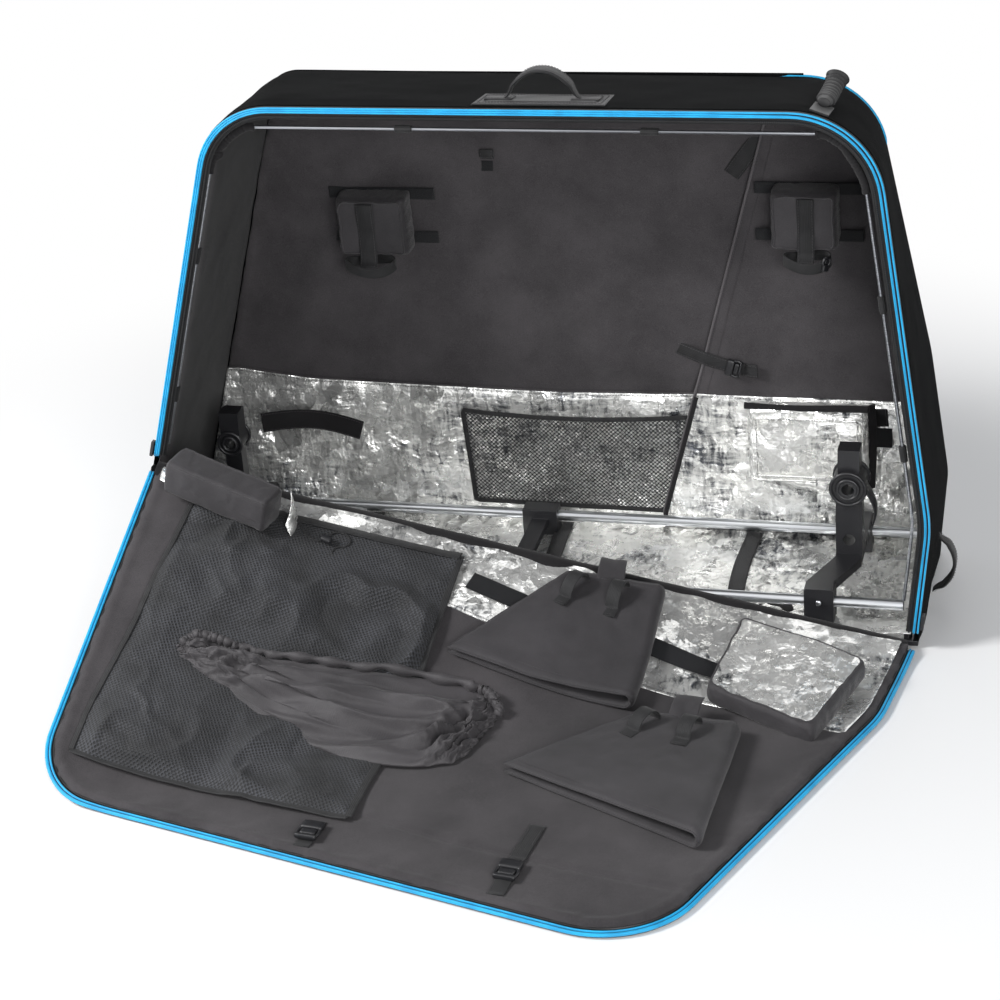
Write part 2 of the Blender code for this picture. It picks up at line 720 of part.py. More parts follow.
def makeStand(name, sizes):
    pivot = makePivot(name + "_slide", Vector((sizes["x"], standDepth, rail["height"])))
    x = sizes["x"]
    halfPost = sizes["postWidth"] / 2
    halfThick = sizes["postThickness"] / 2
    armLow = saddle["top"] - seamGap - saddle["edge"]
    armTop = armLow + sizes["armHeight"]
    body = box(name, (x - halfPost, rail["frontDepth"] - saddle["half"], armLow),
               (x + halfPost, rail["rearDepth"] + saddle["half"], armTop), "plastic", pivot)
    tools = [box(name + "_post", (x - halfPost, standDepth - halfThick, armLow + saddle["edge"]),
                 (x + halfPost, standDepth + halfThick, sizes["hubHeight"]), None, pivot, cutters)]
    for side, depth in (("front", rail["frontDepth"]), ("rear", rail["rearDepth"])):
        tools.append(box(f"{name}_saddle_{side}", (x - halfPost - saddle["edge"], depth - saddle["half"] + seamGap,
                                                   saddle["foot"]),
                         (x + halfPost + saddle["edge"], depth + saddle["half"] - seamGap, armTop - saddle["edge"]),
                         None, pivot, cutters))
    tools.append(bar(name + "_boss", (x, standDepth, sizes["hubHeight"]), sizes["hubRadius"], sizes["hubWidth"],
                     "y", None, pivot, cutters, 32))
    halfBlock = sizes["blockWidth"] / 2
    tools.append(box(name + "_block", (x - halfBlock, standDepth - halfBlock, sizes["hubHeight"]),
                     (x + halfBlock, standDepth + halfBlock, sizes["blockTop"]), None, pivot, cutters))
    body = join(body, *tools)
    bores = [bar(name + "_hub_bore", (x, standDepth, sizes["hubHeight"]), sizes["hubBore"],
                 sizes["hubWidth"] + overrun, "y", None, pivot, cutters)]
    if sizes["holeRadius"]:
        bores.append(bar(name + "_hole", (x, standDepth, sizes["holeHeight"] + sizes["holeRadius"]),
                         sizes["holeRadius"], sizes["hubWidth"] + overrun, "y", None, pivot, cutters))
    for side, depth in (("front", rail["frontDepth"]), ("rear", rail["rearDepth"])):
        bores.append(bar(f"{name}_rail_bore_{side}", (x, depth, rail["height"]), rail["radius"] + rail["fit"],
                         sizes["postWidth"] + overrun, "x", None, pivot, cutters))
    cut(body, *bores)
    return pivot


hubBush = {"wall": 0.0035, "lip": 0.004}


def makeHubBush(pivot):
    s = standRight
    bore = s["hubBore"] - hubBush["wall"]
    half = s["hubWidth"] / 2
    outer = s["hubBore"] - seamGap
    lip = half + hubBush["lip"]
    flange = s["hubBore"] + hubBush["wall"]
    profile = [(bore, lip), (flange, lip), (flange, half + seamGap), (outer, half + seamGap), (outer, -half),
               (bore, -half)]
    turnedY("stand_right_bush", Vector((s["x"], standDepth, s["hubHeight"])), profile, "steel", pivot)


# Linings, pockets and pads on the back wall
wallPocket = {"thickness": 0.014, "sheet": 0.0015, "hem": 0.020}
pocketLineShares = ((0.6417, 0.0675), (0.7792, 0.8408))
foilTopShare = 0.321
wallInset = 0.013
meshPocket = {"thickness": 0.014, "sheet": 0.0015, "hem": 0.008}
meshPocketShares = ((0.387, 0.274), (0.676, 0.276), (0.640, 0.068), (0.393, 0.071))
wallPad = {"depth": 0.050, "edge": 0.008, "strap": 0.028, "strapThickness": 0.002, "loop": 0.024,
           "strip": 0.018, "stripThickness": 0.0018}
wallPadShares = (("wall_pad_left", 0.2600, 0.3480, 0.6220, 0.7350, 0.2433, 0.3783),
                 ("wall_pad_right", 0.7950, 0.8730, 0.6600, 0.7700, 0.7725, 0.8950))
foilPad = {"depth": 0.036, "edge": 0.006}
foilPadShares = (0.758, 0.905, 0.172, 0.330)
buckle = {"width": 0.030, "length": 0.036, "thickness": 0.008, "edge": 0.002}
pocketStrap = {"width": 0.020, "thickness": 0.002}
pocketStrapShares = ((0.6575, 0.428), (0.7700, 0.383))


def wallOutline(inset, low, high):
    path = outlinePath(backCorners, inset, low, low)
    loop = clipped(path, vec2(0, high), vec2(0, -1))
    lean = math.cos(wallLean)
    return [vec2(p.x, p.y / lean) for p in loop]


def shareLoop(shares):
    return [vec2(x * bagLength, z * bagHeight) for x, z in shares]


# Loop turned so that it lies along the line from a to b
def bandAlong(a, b, width):
    return bandLoop([a, b], width)


def makeWallPieces():
    low = floorTop + floorPad["edge"]
    foilTop = foilTopShare * bagHeight
    slab("back_foil", [wallOutline(wallInset, low, foilTop)], -seamGap - lining, -seamGap, "foil", wallFrame)
    base = seamGap + lining + seamGap

    lineLow, lineHigh = shareLoop(pocketLineShares)
    d = (lineHigh - lineLow).normalized()
    toRight = Vector((d.y, -d.x))
    whole = wallOutline(wallInset, low, bagHeight)
    loop = clipped(whole, lineLow, toRight)
    panel = slab("wheel_pocket", [loop], -base - wallPocket["thickness"], -base, "liner", wallFrame)
    hollow = clipped(wallOutline(wallInset + wallPocket["hem"], low + wallPocket["hem"], bagHeight),
                     lineLow - toRight * overrun, toRight)
    cut(panel, slab("wheel_pocket_hollow", [hollow], -base - wallPocket["thickness"] + wallPocket["sheet"],
                    overrun, None, wallFrame, collection=cutters))
    onPocket = base + wallPocket["thickness"] + seamGap

    net = shareLoop(meshPocketShares)
    netBody = slab("mesh_pocket", [net], -base - meshPocket["thickness"], -base, "net", wallFrame)
    hem = meshPocket["hem"]
    inside = [net[0] + vec2(hem, overrun), net[1] + vec2(-hem, overrun), net[2] + vec2(-hem, hem),
              net[3] + vec2(hem, hem)]
    cut(netBody, slab("mesh_pocket_hollow", [inside], -base - meshPocket["thickness"] + meshPocket["sheet"],
                      overrun, None, wallFrame, collection=cutters))

    for name, x0, x1, z0, z1, s0, s1 in wallPadShares:
        seat = seamGap if name.endswith("left") else onPocket
        x0, x1, s0, s1 = (v * bagLength for v in (x0, x1, s0, s1))
        z0, z1 = z0 * bagHeight, z1 * bagHeight
        front = -seat - wallPad["stripThickness"] - wallPad["depth"]
        pad = box(name, (x0, front, z0), (x1, -seat - wallPad["stripThickness"] + seamGap, z1), "liner", wallFrame)
        half = wallPad["strip"] / 2
        tools = []
        for tag, z in (("high", z1 - half - wallPad["edge"]), ("low", z0 + half + wallPad["edge"])):
            tools.append(box(f"{name}_strip_{tag}", (s0, -seat - wallPad["stripThickness"], z - half),
                             (s1, -seat, z + half), None, wallFrame, cutters))
        t = wallPad["strapThickness"]
        middle = (x0 + x1) / 2
        halfStrap = wallPad["strap"] / 2
        sling = [vec2(front - t, z1 - wallPad["edge"]), vec2(front - t, z0),
                 vec2(front - wallPad["loop"], z0 - wallPad["edge"]),
                 vec2(front - wallPad["loop"], z0 - wallPad["loop"]),
                 vec2(front + wallPad["edge"], z0 - wallPad["loop"]), vec2(front + wallPad["edge"], z0 + t)]
        inner = [vec2(front + t, z1 - wallPad["edge"]), vec2(front + t, z0 + t)]
        hole = roundRectangle(front - wallPad["loop"] + t, front + wallPad["edge"] - t,
                              z0 - wallPad["loop"] + t, z0 - t - wallPad["edge"], t)
        outline = sling + inner[::-1]
        tools.append(slab(name + "_strap", [outline, hole], middle - halfStrap, middle + halfStrap, None,
                          wallFrame, "x", cutters))
        join(pad, *tools)

    x0, x1, z0, z1 = foilPadShares
    box("foil_pad", (x0 * bagLength, -onPocket - foilPad["depth"], z0 * bagHeight),
        (x1 * bagLength, -onPocket, z1 * bagHeight), "foil", wallFrame, edge=foilPad["edge"])

    a, b = shareLoop(pocketStrapShares)
    strap = slab("pocket_strap", [bandAlong(a, b, pocketStrap["width"])], -onPocket - pocketStrap["thickness"],
                 -onPocket, "webbing", wallFrame)
    d = (b - a).normalized()
    centre = b - d * buckle["length"] / 2
    clasp = slab("pocket_strap_buckle", [bandAlong(centre - d * buckle["length"] / 2,
                                                   centre + d * buckle["length"] / 2, buckle["width"])],
                 -onPocket - buckle["thickness"], -onPocket - seamGap, None, wallFrame, collection=cutters)
    join(strap, clasp)


# Handles on the outside
handlePatch = {"length": 0.180, "width": 0.075, "thickness": 0.0025, "frontGap": 0.003}
handlePatchShare = 0.5667
topHandle = {"span": 0.104, "rise": 0.036, "radius": 0.004, "foot": 0.012, "line": 0.036}
tow = {"baseLength": 0.060, "baseWidth": 0.026, "baseThickness": 0.0025, "gripLength": 0.105,
       "gripWidth": 0.027, "gripThickness": 0.018, "ribDepth": 0.0025, "gripStart": 0.030}
towShare = 0.874
towRibs = 7
endHandle = {"span": 0.094, "rise": 0.026, "radius": 0.004, "foot": 0.012, "low": 0.020, "seat": 0.0006}
seatSpan = 0.013
seatReachShare = 0.25
bailSquareShare = 0.7


# Place on the outside of the shell's top, at a place along the bag and a share of the way back
def topPoint(x, share):
    start, end = housing["height"], baseTop
    front = outlinePath(frontCorners, 0, start, end)
    back = outlinePath(backCorners, 0, start, end)
    rise = pointAtX([f.lerp(b, share) for f, b in zip(front, back)], x).y
    behind = pointAtX(back, x).y
    return Vector((x, bodyFront + (wallDepth(behind) - bodyFront) * share, rise))


# Turn and shift that lay a piece on the shell's top: x runs along the bag, y runs back down the slope
def topSeat(x):
    along = (topPoint(x, seatReachShare) - topPoint(x, 0)).normalized()
    reach = seatReachShare / 2
    across = topPoint(x + seatSpan, reach) - topPoint(x - seatSpan, reach)
    across = (across - along * across.dot(along)).normalized()
    turn = Matrix((across, along, across.cross(along))).transposed().to_4x4()
    return Matrix.Translation(topPoint(x, 0)) @ turn


# Bail with its ends along the axis it swings on, in its own plane: along, out
def bailPath(span, rise, foot, steps=7):
    half = span / 2
    path = [vec2(-half, 0), vec2(-half + foot, 0)]
    for k in range(1, steps):
        t = k / steps
        path.append(vec2((-half + foot) * math.cos(math.pi * t), rise * math.sin(math.pi * t) ** bailSquareShare))
    return path + [vec2(half - foot, 0), vec2(half, 0)]


def makeHandles():
    x = handlePatchShare * bagLength
    seat = topSeat(x)
    lift = seamGap * 2
    y0 = handlePatch["frontGap"]
    half = handlePatch["length"] / 2
    top = lift + handlePatch["thickness"]
    box("handle_patch", (-half, y0, lift), (half, y0 + handlePatch["width"], top), "webbing", bagFrame, turn=seat)
    axis = seat @ Vector((0, topHandle["line"], top + topHandle["radius"] + seamGap))
    pivot = makePivot("top_handle_axis", axis)
    points = [axis + Vector((p.x, 0, p.y)) for p in bailPath(topHandle["span"], topHandle["rise"], topHandle["foot"])]
    tube("top_handle", points, topHandle["radius"], "webbing", pivot)

    x = towShare * bagLength
    seat = topSeat(x)
    halfBase = tow["baseWidth"] / 2
    baseTopHeight = lift + tow["baseThickness"]
    box("tow_base", (-halfBase, y0, lift), (halfBase, y0 + tow["baseLength"], baseTopHeight), "webbing", bagFrame,
        turn=seat)
    seatLift = baseTopHeight + seamGap
    hingeHeight = seatLift + tow["gripThickness"] / 2
    axis = seat @ Vector((0, tow["gripStart"] + tow["gripThickness"] / 2, hingeHeight))
    pivot = makePivot("tow_grip_axis", axis)
    thick, start = tow["gripThickness"], tow["gripStart"]
    loop = []
    for k in range(9):
        angle = math.radians(270 - 180 * k / 8)
        loop.append(vec2(start + thick / 2 + thick / 2 * math.cos(angle), hingeHeight + thick / 2 * math.sin(angle)))
    ribStart = start + thick
    pitch = (tow["gripLength"] - thick * 2) / towRibs
    for k in range(towRibs):
        y = ribStart + pitch * k
        loop += [vec2(y, seatLift + thick), vec2(y + pitch / 4, seatLift + thick - tow["ribDepth"]),
                 vec2(y + pitch / 2, seatLift + thick - tow["ribDepth"]), vec2(y + pitch * 3 / 4, seatLift + thick)]
    endY = start + tow["gripLength"]
    loop += [vec2(endY, seatLift + thick), vec2(endY, seatLift)]
    halfGrip = tow["gripWidth"] / 2
    slab("tow_grip", [loop], -halfGrip, halfGrip, "rubber", pivot, "x", turn=seat)

    share = (originDepth - bodyFront) / (depthAtFloor - bodyFront)

    # Place on the outside of the right gusset at the end handle's depth
    def sidePoint(z):
        front = outlinePath(frontCorners, 0, z, z)
        back = outlinePath(backCorners, 0, z, z)
        reach = front[-1].lerp(back[-1], share)
        return Vector((reach.x, originDepth, z))

    low = sidePoint(endHandle["low"])
    along = (sidePoint(endHandle["low"] + endHandle["span"]) - low).normalized()
    out = along.cross(Vector((0, -1, 0)))
    axis = low + along * endHandle["span"] / 2 + out * (endHandle["radius"] + endHandle["seat"])
    pivot = makePivot("end_handle_axis", axis)
    bail = bailPath(endHandle["span"], endHandle["rise"], endHandle["foot"])
    tube("end_handle", [axis + along * p.x + out * p.y for p in bail], endHandle["radius"], "webbing", pivot)


# Zip sliders that run on the outside of the rim
slider = {"length": 0.024, "thickness": 0.005, "depth": 0.009}
sliderHeightShares = (0.335, 0.062)


def makeSliders():
    lines = (insetLine(vec2(*frontCorners[0][:2]), vec2(*frontCorners[1][:2]), -seamGap),
             insetLine(vec2(*frontCorners[4][:2]), vec2(*frontCorners[5][:2]), -seamGap))
    for name, line, share in zip(("zip_slider_left", "zip_slider_right"), lines, sliderHeightShares):
        centre = atHeight(line, share * bagHeight)
        d = line[1]
        out = Vector((-d.y, d.x)) * slider["thickness"] / 2
        loop = bandLoop([centre + out - d * slider["length"] / 2, centre + out + d * slider["length"] / 2],
                        slider["thickness"])
        pivot = makePivot(name + "_run", Vector((centre.x, 0, centre.y)))
        slab(name, [loop], rimSetback, rimSetback + slider["depth"], "steel", pivot)


# Door: two padded facets with blue edges and a foil strip along the fold
doorPiping = {"inner": 0.0005}
doorFoilShare = 0.338


# Closed outline of the door's panels, moved inward at the rim
def doorOutline(inset):
    start = foldLeft.z
    path = outlinePath(frontCorners, inset, start, foldRight.z)
    across = vec2(foldAcross.x, foldAcross.z)
    away = vec2(-across.y, across.x)
    away = away if away.y > 0 else -away
    bottom = atHeight(insetLine(vec2(*frontCorners[0][:2]), vec2(*frontCorners[1][:2]), inset), 0)
    loop = [bottom] + path[1:]
    return clipped(loop, vec2(foldRight.x, foldRight.z) + away * panelSetback, away)


# Half of a loop on one side of the crease; a piece that stands higher keeps further from it
def halfOf(loop, side, top=0):
    setback = creaseSetback + top * math.tan(creaseAngle / 2)
    return clipped(loop, creasePoint + creaseNormal * setback * side, creaseNormal * side)


# Part of the rim's path on one side of the crease
def pathSide(path, side):
    kept = []
    for a, b in zip(path, path[1:] + path[-1:]):
        da = (a - creasePoint).dot(creaseNormal) * side - creaseSetback
        db = (b - creasePoint).dot(creaseNormal) * side - creaseSetback
        if da >= 0:
            kept.append(a)
        if da * db < 0:
            kept.append(a + (b - a) * (da / (da - db)))
    return kept


doorSides = (("door_lower", lowerFrame, -1), ("door_upper", upperFrame, 1))
onFoil = seamGap + lining + seamGap


def makeDoor():
    panel = doorOutline(rimWidth + seamGap)
    foilTop = doorFoilShare * bagHeight
    start = foldLeft.z + panelSetback * 2
    end = foldRight.z + rimWidth
    outer = outlinePath(frontCorners, 0, start, end)
    inner = outlinePath(frontCorners, rimWidth, start, end)
    for name, frame, side in doorSides:
        slab(name, [halfOf(panel, side)], -panelThickness, 0, "liner", frame)
        slab(name + "_piping", [pathSide(outer, side) + pathSide(inner, side)[::-1]], -panelThickness,
             -doorPiping["inner"], "blue", frame)
        foilRoom = doorOutline(rimWidth + floorPad["edge"])
        foil = clipped(halfOf(foilRoom, side, seamGap + lining), vec2(0, foilTop), vec2(0, -1))
        slab(name + "_foil", [foil], seamGap, seamGap + lining, "foil", frame)


# Mesh bag that lies over the left of the door, with its drawcord
meshBag = {"thickness": 0.003}
meshBagShares = ((0.1333, 0.330), (0.4592, 0.228), (0.5467, 0.878), (0.2000, 0.911))
cord = {"radius": 0.00125, "lock": 0.011, "lockHeight": 0.009, "lockLength": 0.016}
cordShares = ((0.262, 0.298), (0.276, 0.316), (0.293, 0.322), (0.304, 0.313), (0.3045, 0.300), (0.309, 0.288),
              (0.321, 0.284), (0.331, 0.294), (0.329, 0.309), (0.320, 0.320), (0.321, 0.335), (0.333, 0.345),
              (0.347, 0.343))
lockShares = (0.306, 0.3155)


# Smooth curve through points, with even steps
def smoothPath(points, perSpan):
    padded = [points[0] * 2 - points[1]] + list(points) + [points[-1] * 2 - points[-2]]
    result = []
    for i in range(1, len(padded) - 2):
        p0, p1, p2, p3 = padded[i - 1:i + 3]
        for k in range(perSpan):
            t = k / perSpan
            result.append((p1 * 2 + (p2 - p0) * t + (p0 * 2 - p1 * 5 + p2 * 4 - p3) * t ** 2
                           + (p1 * 3 - p0 - p2 * 3 + p3) * t ** 3) / 2)
    return result + [points[-1]]


def makeMeshBag():
    loop = shareLoop(meshBagShares)
    low = onFoil
    high = onFoil + meshBag["thickness"]
    slab("mesh_bag", [halfOf(loop, -1, high)], low, high, "net", lowerFrame)
    slab("mesh_bag_fold", [halfOf(loop, 1, high)], low, high, "net", upperFrame)
    route = smoothPath(shareLoop(cordShares), 4)
    height = high + cord["radius"] + seamGap * 2
    tube("mesh_bag_cord", [(p.x, height, p.y) for p in route], cord["radius"], "webbing", lowerFrame, resolution=2)
    spot = vec2(lockShares[0] * bagLength, lockShares[1] * bagHeight)
    half = cord["lockLength"] / 2
    low = height + cord["radius"] + seamGap
    box("cord_lock", (spot.x - half, low, spot.y - cord["lock"] / 2),
        (spot.x + half, low + cord["lockHeight"], spot.y + cord["lock"] / 2), "plastic", lowerFrame,
        edge=cord["lockHeight"] / 4)


# Padded roll that lies along the fold, on the far corner of the mesh bag
rollRadius = 0.031
rollShares = ((0.0933, 0.335), (0.2267, 0.335))


def makeRoll():
    height = onFoil + meshBag["thickness"] + seamGap + rollRadius
    ends = [(p.x, height, p.y) for p in shareLoop(rollShares)]
    tube("roll_pad", ends, rollRadius, "liner", lowerFrame, resolution=4)


# Crumpled drivetrain cover on the mesh bag
cover = {"height": 0.032, "seat": 0.0006}
coverShares = ((0.234, 0.640, 0.652, 0.25), (0.255, 0.606, 0.666, 0.6), (0.330, 0.592, 0.690, 1.0),
               (0.420, 0.545, 0.715, 1.0), (0.500, 0.500, 0.725, 1.0), (0.565, 0.475, 0.705, 0.95),
               (0.604, 0.500, 0.665, 0.5))


# Section of a soft heap: share of the way across, share of the height
heapRingShares = ((0, 0), (0.33, 0), (0.67, 0), (1, 0), (1, 0.45), (0.8, 0.9), (0.5, 1), (0.2, 0.9), (0, 0.45))


# Soft heap over rows that each run from a far to a near edge, standing clear of the crease
def softHeap(name, shares, height, seat, material, frame):
    rings = []
    for x, z0, z1, size in shares:
        x, z0, z1 = x * bagLength, z0 * bagHeight, z1 * bagHeight
        tall = height * size
        across = z1 - z0
        ring = []
        for t, h in heapRingShares:
            z = z0 + across * t
            ring.append((x, seat + creaseLift(frame, x, z) + tall * h, z))
        rings.append(ring)
    return loftRings(name, rings, material, frame)


def makeCover():
    seat = onFoil + meshBag["thickness"] + cover["seat"]
    softHeap("chain_cover", coverShares, cover["height"], seat, "liner", lowerFrame)


# Padded block under foil near the door's right end
block = {"height": 0.030, "edge": 0.006}
blockShares = ((0.7983, 0.135), (0.9590, 0.160), (0.9480, 0.380), (0.8125, 0.344))


def makeBlock():
    loop = shareLoop(blockShares)
    low = [(p.x, onFoil + creaseLift(upperFrame, p.x, p.y), p.y) for p in loop]
    high = [(x, y + block["height"], z) for x, y, z in low]
    roundEdges(loftRings("block_pad", [low, high], "foil", upperFrame), block["edge"])


# Folded frame pads: a lower and an upper sheet joined by a fold at the right, open at the left
pad = {"sheet": 0.008, "mouth": 0.005, "fold": 0.030, "bulge": 0.005, "spine": 0.010, "loopWidth": 0.014,
       "loopHeight": 0.030, "loopLength": 0.020, "webbing": 0.002, "tab": 0.036, "tabThickness": 0.003}
padFarShares = ((0.5825, 0.176), (0.6925, 0.132), (0.7360, 0.404), (0.5100, 0.428))
padNearShares = ((0.7560, 0.430), (0.8700, 0.413), (0.9150, 0.740), (0.6620, 0.657))
padLoopShares = (0.30, 0.72)
padLoopRowShare = 0.16
padTabShares = (0.25, 0.80)


def foldedPad(name, shares, frame, seat):
    farLeft, farRight, nearRight, nearLeft = shareLoop(shares)
    rings = []
    rows = 3
    for r in range(rows + 1):
        a = farLeft.lerp(nearLeft, r / rows)
        b = farRight.lerp(nearRight, r / rows)
        wide = (b - a).length
        d = (b - a) / wide
        s = pad["sheet"]
        profile = []
        for along, height in ((0, 0), (wide / 2, 0), (wide, 0), (wide + pad["bulge"], pad["fold"] / 2),
                              (wide, pad["fold"]), (wide / 2, (pad["fold"] + 2 * s + pad["mouth"]) / 2),
                              (0, 2 * s + pad["mouth"]), (0, s + pad["mouth"]),
                              (wide / 2, (pad["fold"] + pad["mouth"]) / 2), (wide - pad["spine"], pad["fold"] - s),
                              (wide - pad["spine"], s), (wide / 2, s), (0, s)):
            p = a + d * along
            foot = a + d * min(along, wide)
            profile.append((p.x, seat + creaseLift(frame, foot.x, foot.y) + height, p.y))
        rings.append(profile)
    body = loftRings(name, rings, "liner", frame)
    top = seat + pad["fold"]
    tools = []
    for i, share in enumerate(padLoopShares):
        spot = farLeft.lerp(farRight, share).lerp(nearLeft.lerp(nearRight, share), padLoopRowShare)
        width = pad["loopWidth"] / 2
        z0, z1 = spot.y, spot.y + pad["loopLength"]
        t = pad["webbing"]
        base = seat + 2 * pad["sheet"] + (pad["fold"] - 2 * pad["sheet"]) * share - t
        outline = rectangle(base - t, base + pad["loopHeight"], z0, z1)
        hole = rectangle(base + 2 * t, base + pad["loopHeight"] - t, z0 + t, z1 - t)
        tools.append(slab(f"{name}_loop_{i}", [outline, hole], spot.x - width, spot.x + width, None, frame, "x",
                          cutters))
    a = farLeft.lerp(farRight, padTabShares[0])
    b = farLeft.lerp(farRight, padTabShares[1])
    d = (b - a).normalized()
    out = Vector((d.y, -d.x))
    inset = out * -pad["sheet"]
    tabLoop = [a + inset, b + inset, b + out * pad["tab"], a + out * pad["tab"]]
    height = seat + 2 * pad["sheet"] + pad["mouth"] - pad["tabThickness"] / 2
    tools.append(slab(name + "_tab", [tabLoop], height, height + pad["tabThickness"], None, frame,
                      collection=cutters))
    join(body, *tools)


def makePads():
    foldedPad("frame_pad_far", padFarShares, lowerFrame, onFoil)
    foldedPad("frame_pad_near", padNearShares, upperFrame, seamGap)


# Webbing straps with buckles near the door's free edge
doorStrap = {"width": 0.022, "thickness": 0.0018}
doorStrapShares = (("door_strap_left", (0.5210, 0.898), (0.5280, 0.972), 0.45),
                   ("door_strap_right", (0.7422, 0.774), (0.7578, 0.968), 0.70))


def makeDoorStraps():
    for name, start, end, share in doorStrapShares:
        a, b = shareLoop((start, end))
        strap = slab(name, [bandAlong(a, b, doorStrap["width"])], seamGap, seamGap + doorStrap["thickness"],
                     "webbing", upperFrame)
        d = (b - a).normalized()
        centre = a.lerp(b, share)
        clasp = slab(name + "_buckle", [bandAlong(centre - d * buckle["length"] / 2,
                                                  centre + d * buckle["length"] / 2, buckle["width"])],
                     seamGap * 2, seamGap + buckle["thickness"], None, upperFrame, collection=cutters)
        join(strap, clasp)


makeBase()
makeWheels()
makeShell()
makeRods()
makeRails()
makeFloorStraps()
makeHubBush(makeStand("stand_right", standRight))
makeStand("stand_left", standLeft)
makeWallPieces()
makeHandles()
makeSliders()
makeDoor()
makeMeshBag()
makeRoll()
makeCover()
makeBlock()
makePads()
makeDoorStraps()
bpy.context.view_layer.update()
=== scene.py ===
# Soft bike travel bag: finishes, linings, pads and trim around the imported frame
import bpy
import bmesh
import math
import numpy as np
from mathutils import Matrix, Vector


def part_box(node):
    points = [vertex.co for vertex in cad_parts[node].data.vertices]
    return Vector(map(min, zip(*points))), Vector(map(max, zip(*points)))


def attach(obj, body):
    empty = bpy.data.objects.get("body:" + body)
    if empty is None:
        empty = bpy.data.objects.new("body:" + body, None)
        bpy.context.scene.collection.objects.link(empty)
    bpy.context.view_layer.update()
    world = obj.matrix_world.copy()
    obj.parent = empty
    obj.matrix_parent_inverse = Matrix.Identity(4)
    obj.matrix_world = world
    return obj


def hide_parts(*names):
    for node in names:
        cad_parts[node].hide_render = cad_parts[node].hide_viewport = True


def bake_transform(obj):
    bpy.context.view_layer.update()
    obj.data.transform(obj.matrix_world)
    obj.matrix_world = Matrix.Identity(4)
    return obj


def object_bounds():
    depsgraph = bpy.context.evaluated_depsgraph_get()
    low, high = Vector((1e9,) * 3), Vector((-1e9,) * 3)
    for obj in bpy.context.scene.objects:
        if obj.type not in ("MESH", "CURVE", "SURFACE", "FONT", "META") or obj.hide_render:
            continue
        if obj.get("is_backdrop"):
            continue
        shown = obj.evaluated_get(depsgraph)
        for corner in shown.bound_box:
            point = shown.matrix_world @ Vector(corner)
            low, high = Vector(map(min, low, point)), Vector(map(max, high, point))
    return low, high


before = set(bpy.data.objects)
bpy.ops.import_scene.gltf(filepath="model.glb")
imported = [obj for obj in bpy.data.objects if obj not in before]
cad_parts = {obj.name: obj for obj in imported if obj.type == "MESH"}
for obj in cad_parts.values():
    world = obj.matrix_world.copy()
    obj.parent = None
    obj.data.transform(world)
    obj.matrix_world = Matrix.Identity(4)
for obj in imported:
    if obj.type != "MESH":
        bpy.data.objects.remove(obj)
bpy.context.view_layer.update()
print("frame loaded:", len(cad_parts), "nodes")

# The bag's own sizes, in metres, as the frame has them. Points are worked out in the bag's own
# coordinates, with x from its left foot and y from the rim's plane, and moved to the frame's at the end.
bag = {"length": 1.200, "height": 0.785, "depthAtFloor": 0.305, "depthAtTop": 0.262, "originDepth": 0.150,
       "wall": 0.010, "rimDepth": 0.012, "bodyFront": 0.0123, "floorTop": 0.0201, "housingTop": 0.083,
       "foilTop": 0.262}
frontCorners = ((0.0020, 0.0120, 0.0), (0.2200, 0.7850, 0.115), (1.1220, 0.7850, 0.126),
                (1.1748, 0.3847, 0.471), (1.2000, 0.1963, 0.230), (1.1820, 0.0100, 0.0))
backCorners = ((0.0020, 0.0140, 0.0), (0.2220, 0.7552, 0.060), (1.0900, 0.7497, 0.115),
               (1.1720, 0.3391, 0.471), (1.1980, 0.1389, 0.1178), (1.1880, 0.0150, 0.0))
foldLeft = np.array([0.0680, 0.0, 0.2400])
foldRight = np.array([1.1820, 0.0, 0.0100])
creaseRise = 0.848
clothThick, foilThick, finePly = 0.0012, 0.0008, 0.0010
inwardY = np.array([0.0, 1.0, 0.0])
upZ = np.array([0.0, 0.0, 1.0])
towardFront = (0, -1, 0)


# A direction divided by its length
def unit(v):
    return np.asarray(v, float) / np.linalg.norm(v)


# The bag's point moved to the frame's place: less half the length and the origin's depth
def toFrame(p):
    return np.asarray(p, float) - np.array([bag["length"] / 2, bag["originDepth"], 0.0])


# Depth of the back wall: from that at the floor to that at the top in proportion to the height
def wallDepth(z):
    return bag["depthAtFloor"] + (bag["depthAtTop"] - bag["depthAtFloor"]) * z / bag["height"]


# Height of the door's fold: a straight line from its right end up to its left end
def foldHeight(x):
    return foldRight[2] + (foldLeft[2] - foldRight[2]) / (foldRight[0] - foldLeft[0]) * (foldRight[0] - x)


foldAcross = unit(foldLeft - foldRight)
creaseClosed = unit([-1.0, 0.0, creaseRise])
creaseNormal = np.array([creaseClosed[2], 0.0, -creaseClosed[0]])
restX = creaseClosed @ foldAcross / foldAcross[0]
creaseRest = np.array([restX, -math.sqrt(1 - restX ** 2), 0.0])
rampNormal = unit(np.cross(creaseRest, foldAcross))
rampNormal = rampNormal * np.sign(rampNormal[2])


# Turn that takes two square directions to two others: the new axes times the old ones laid on their side
def turnBetween(a, b, c, d):
    return np.array([c, d, np.cross(c, d)]).T @ np.array([a, b, np.cross(a, b)])


lowerTurn = turnBetween(foldAcross, inwardY, foldAcross, rampNormal)
upperTurn = turnBetween(creaseClosed, inwardY, creaseRest, upZ)
rampUp = lowerTurn @ -creaseNormal
floorAway = upperTurn @ creaseNormal
creaseSoften = 0.050


# Lengths of a point of the closed door along the crease and square to it, by products with its directions
def creaseLengths(x, z):
    px, pz = x - foldRight[0], z - foldRight[2]
    return px * creaseClosed[0] + pz * creaseClosed[2], px * creaseNormal[0] + pz * creaseNormal[2]


# Numbers or arrays brought to one common shape
def alike(*values):
    return np.broadcast_arrays(*[np.asarray(v, float) for v in values])


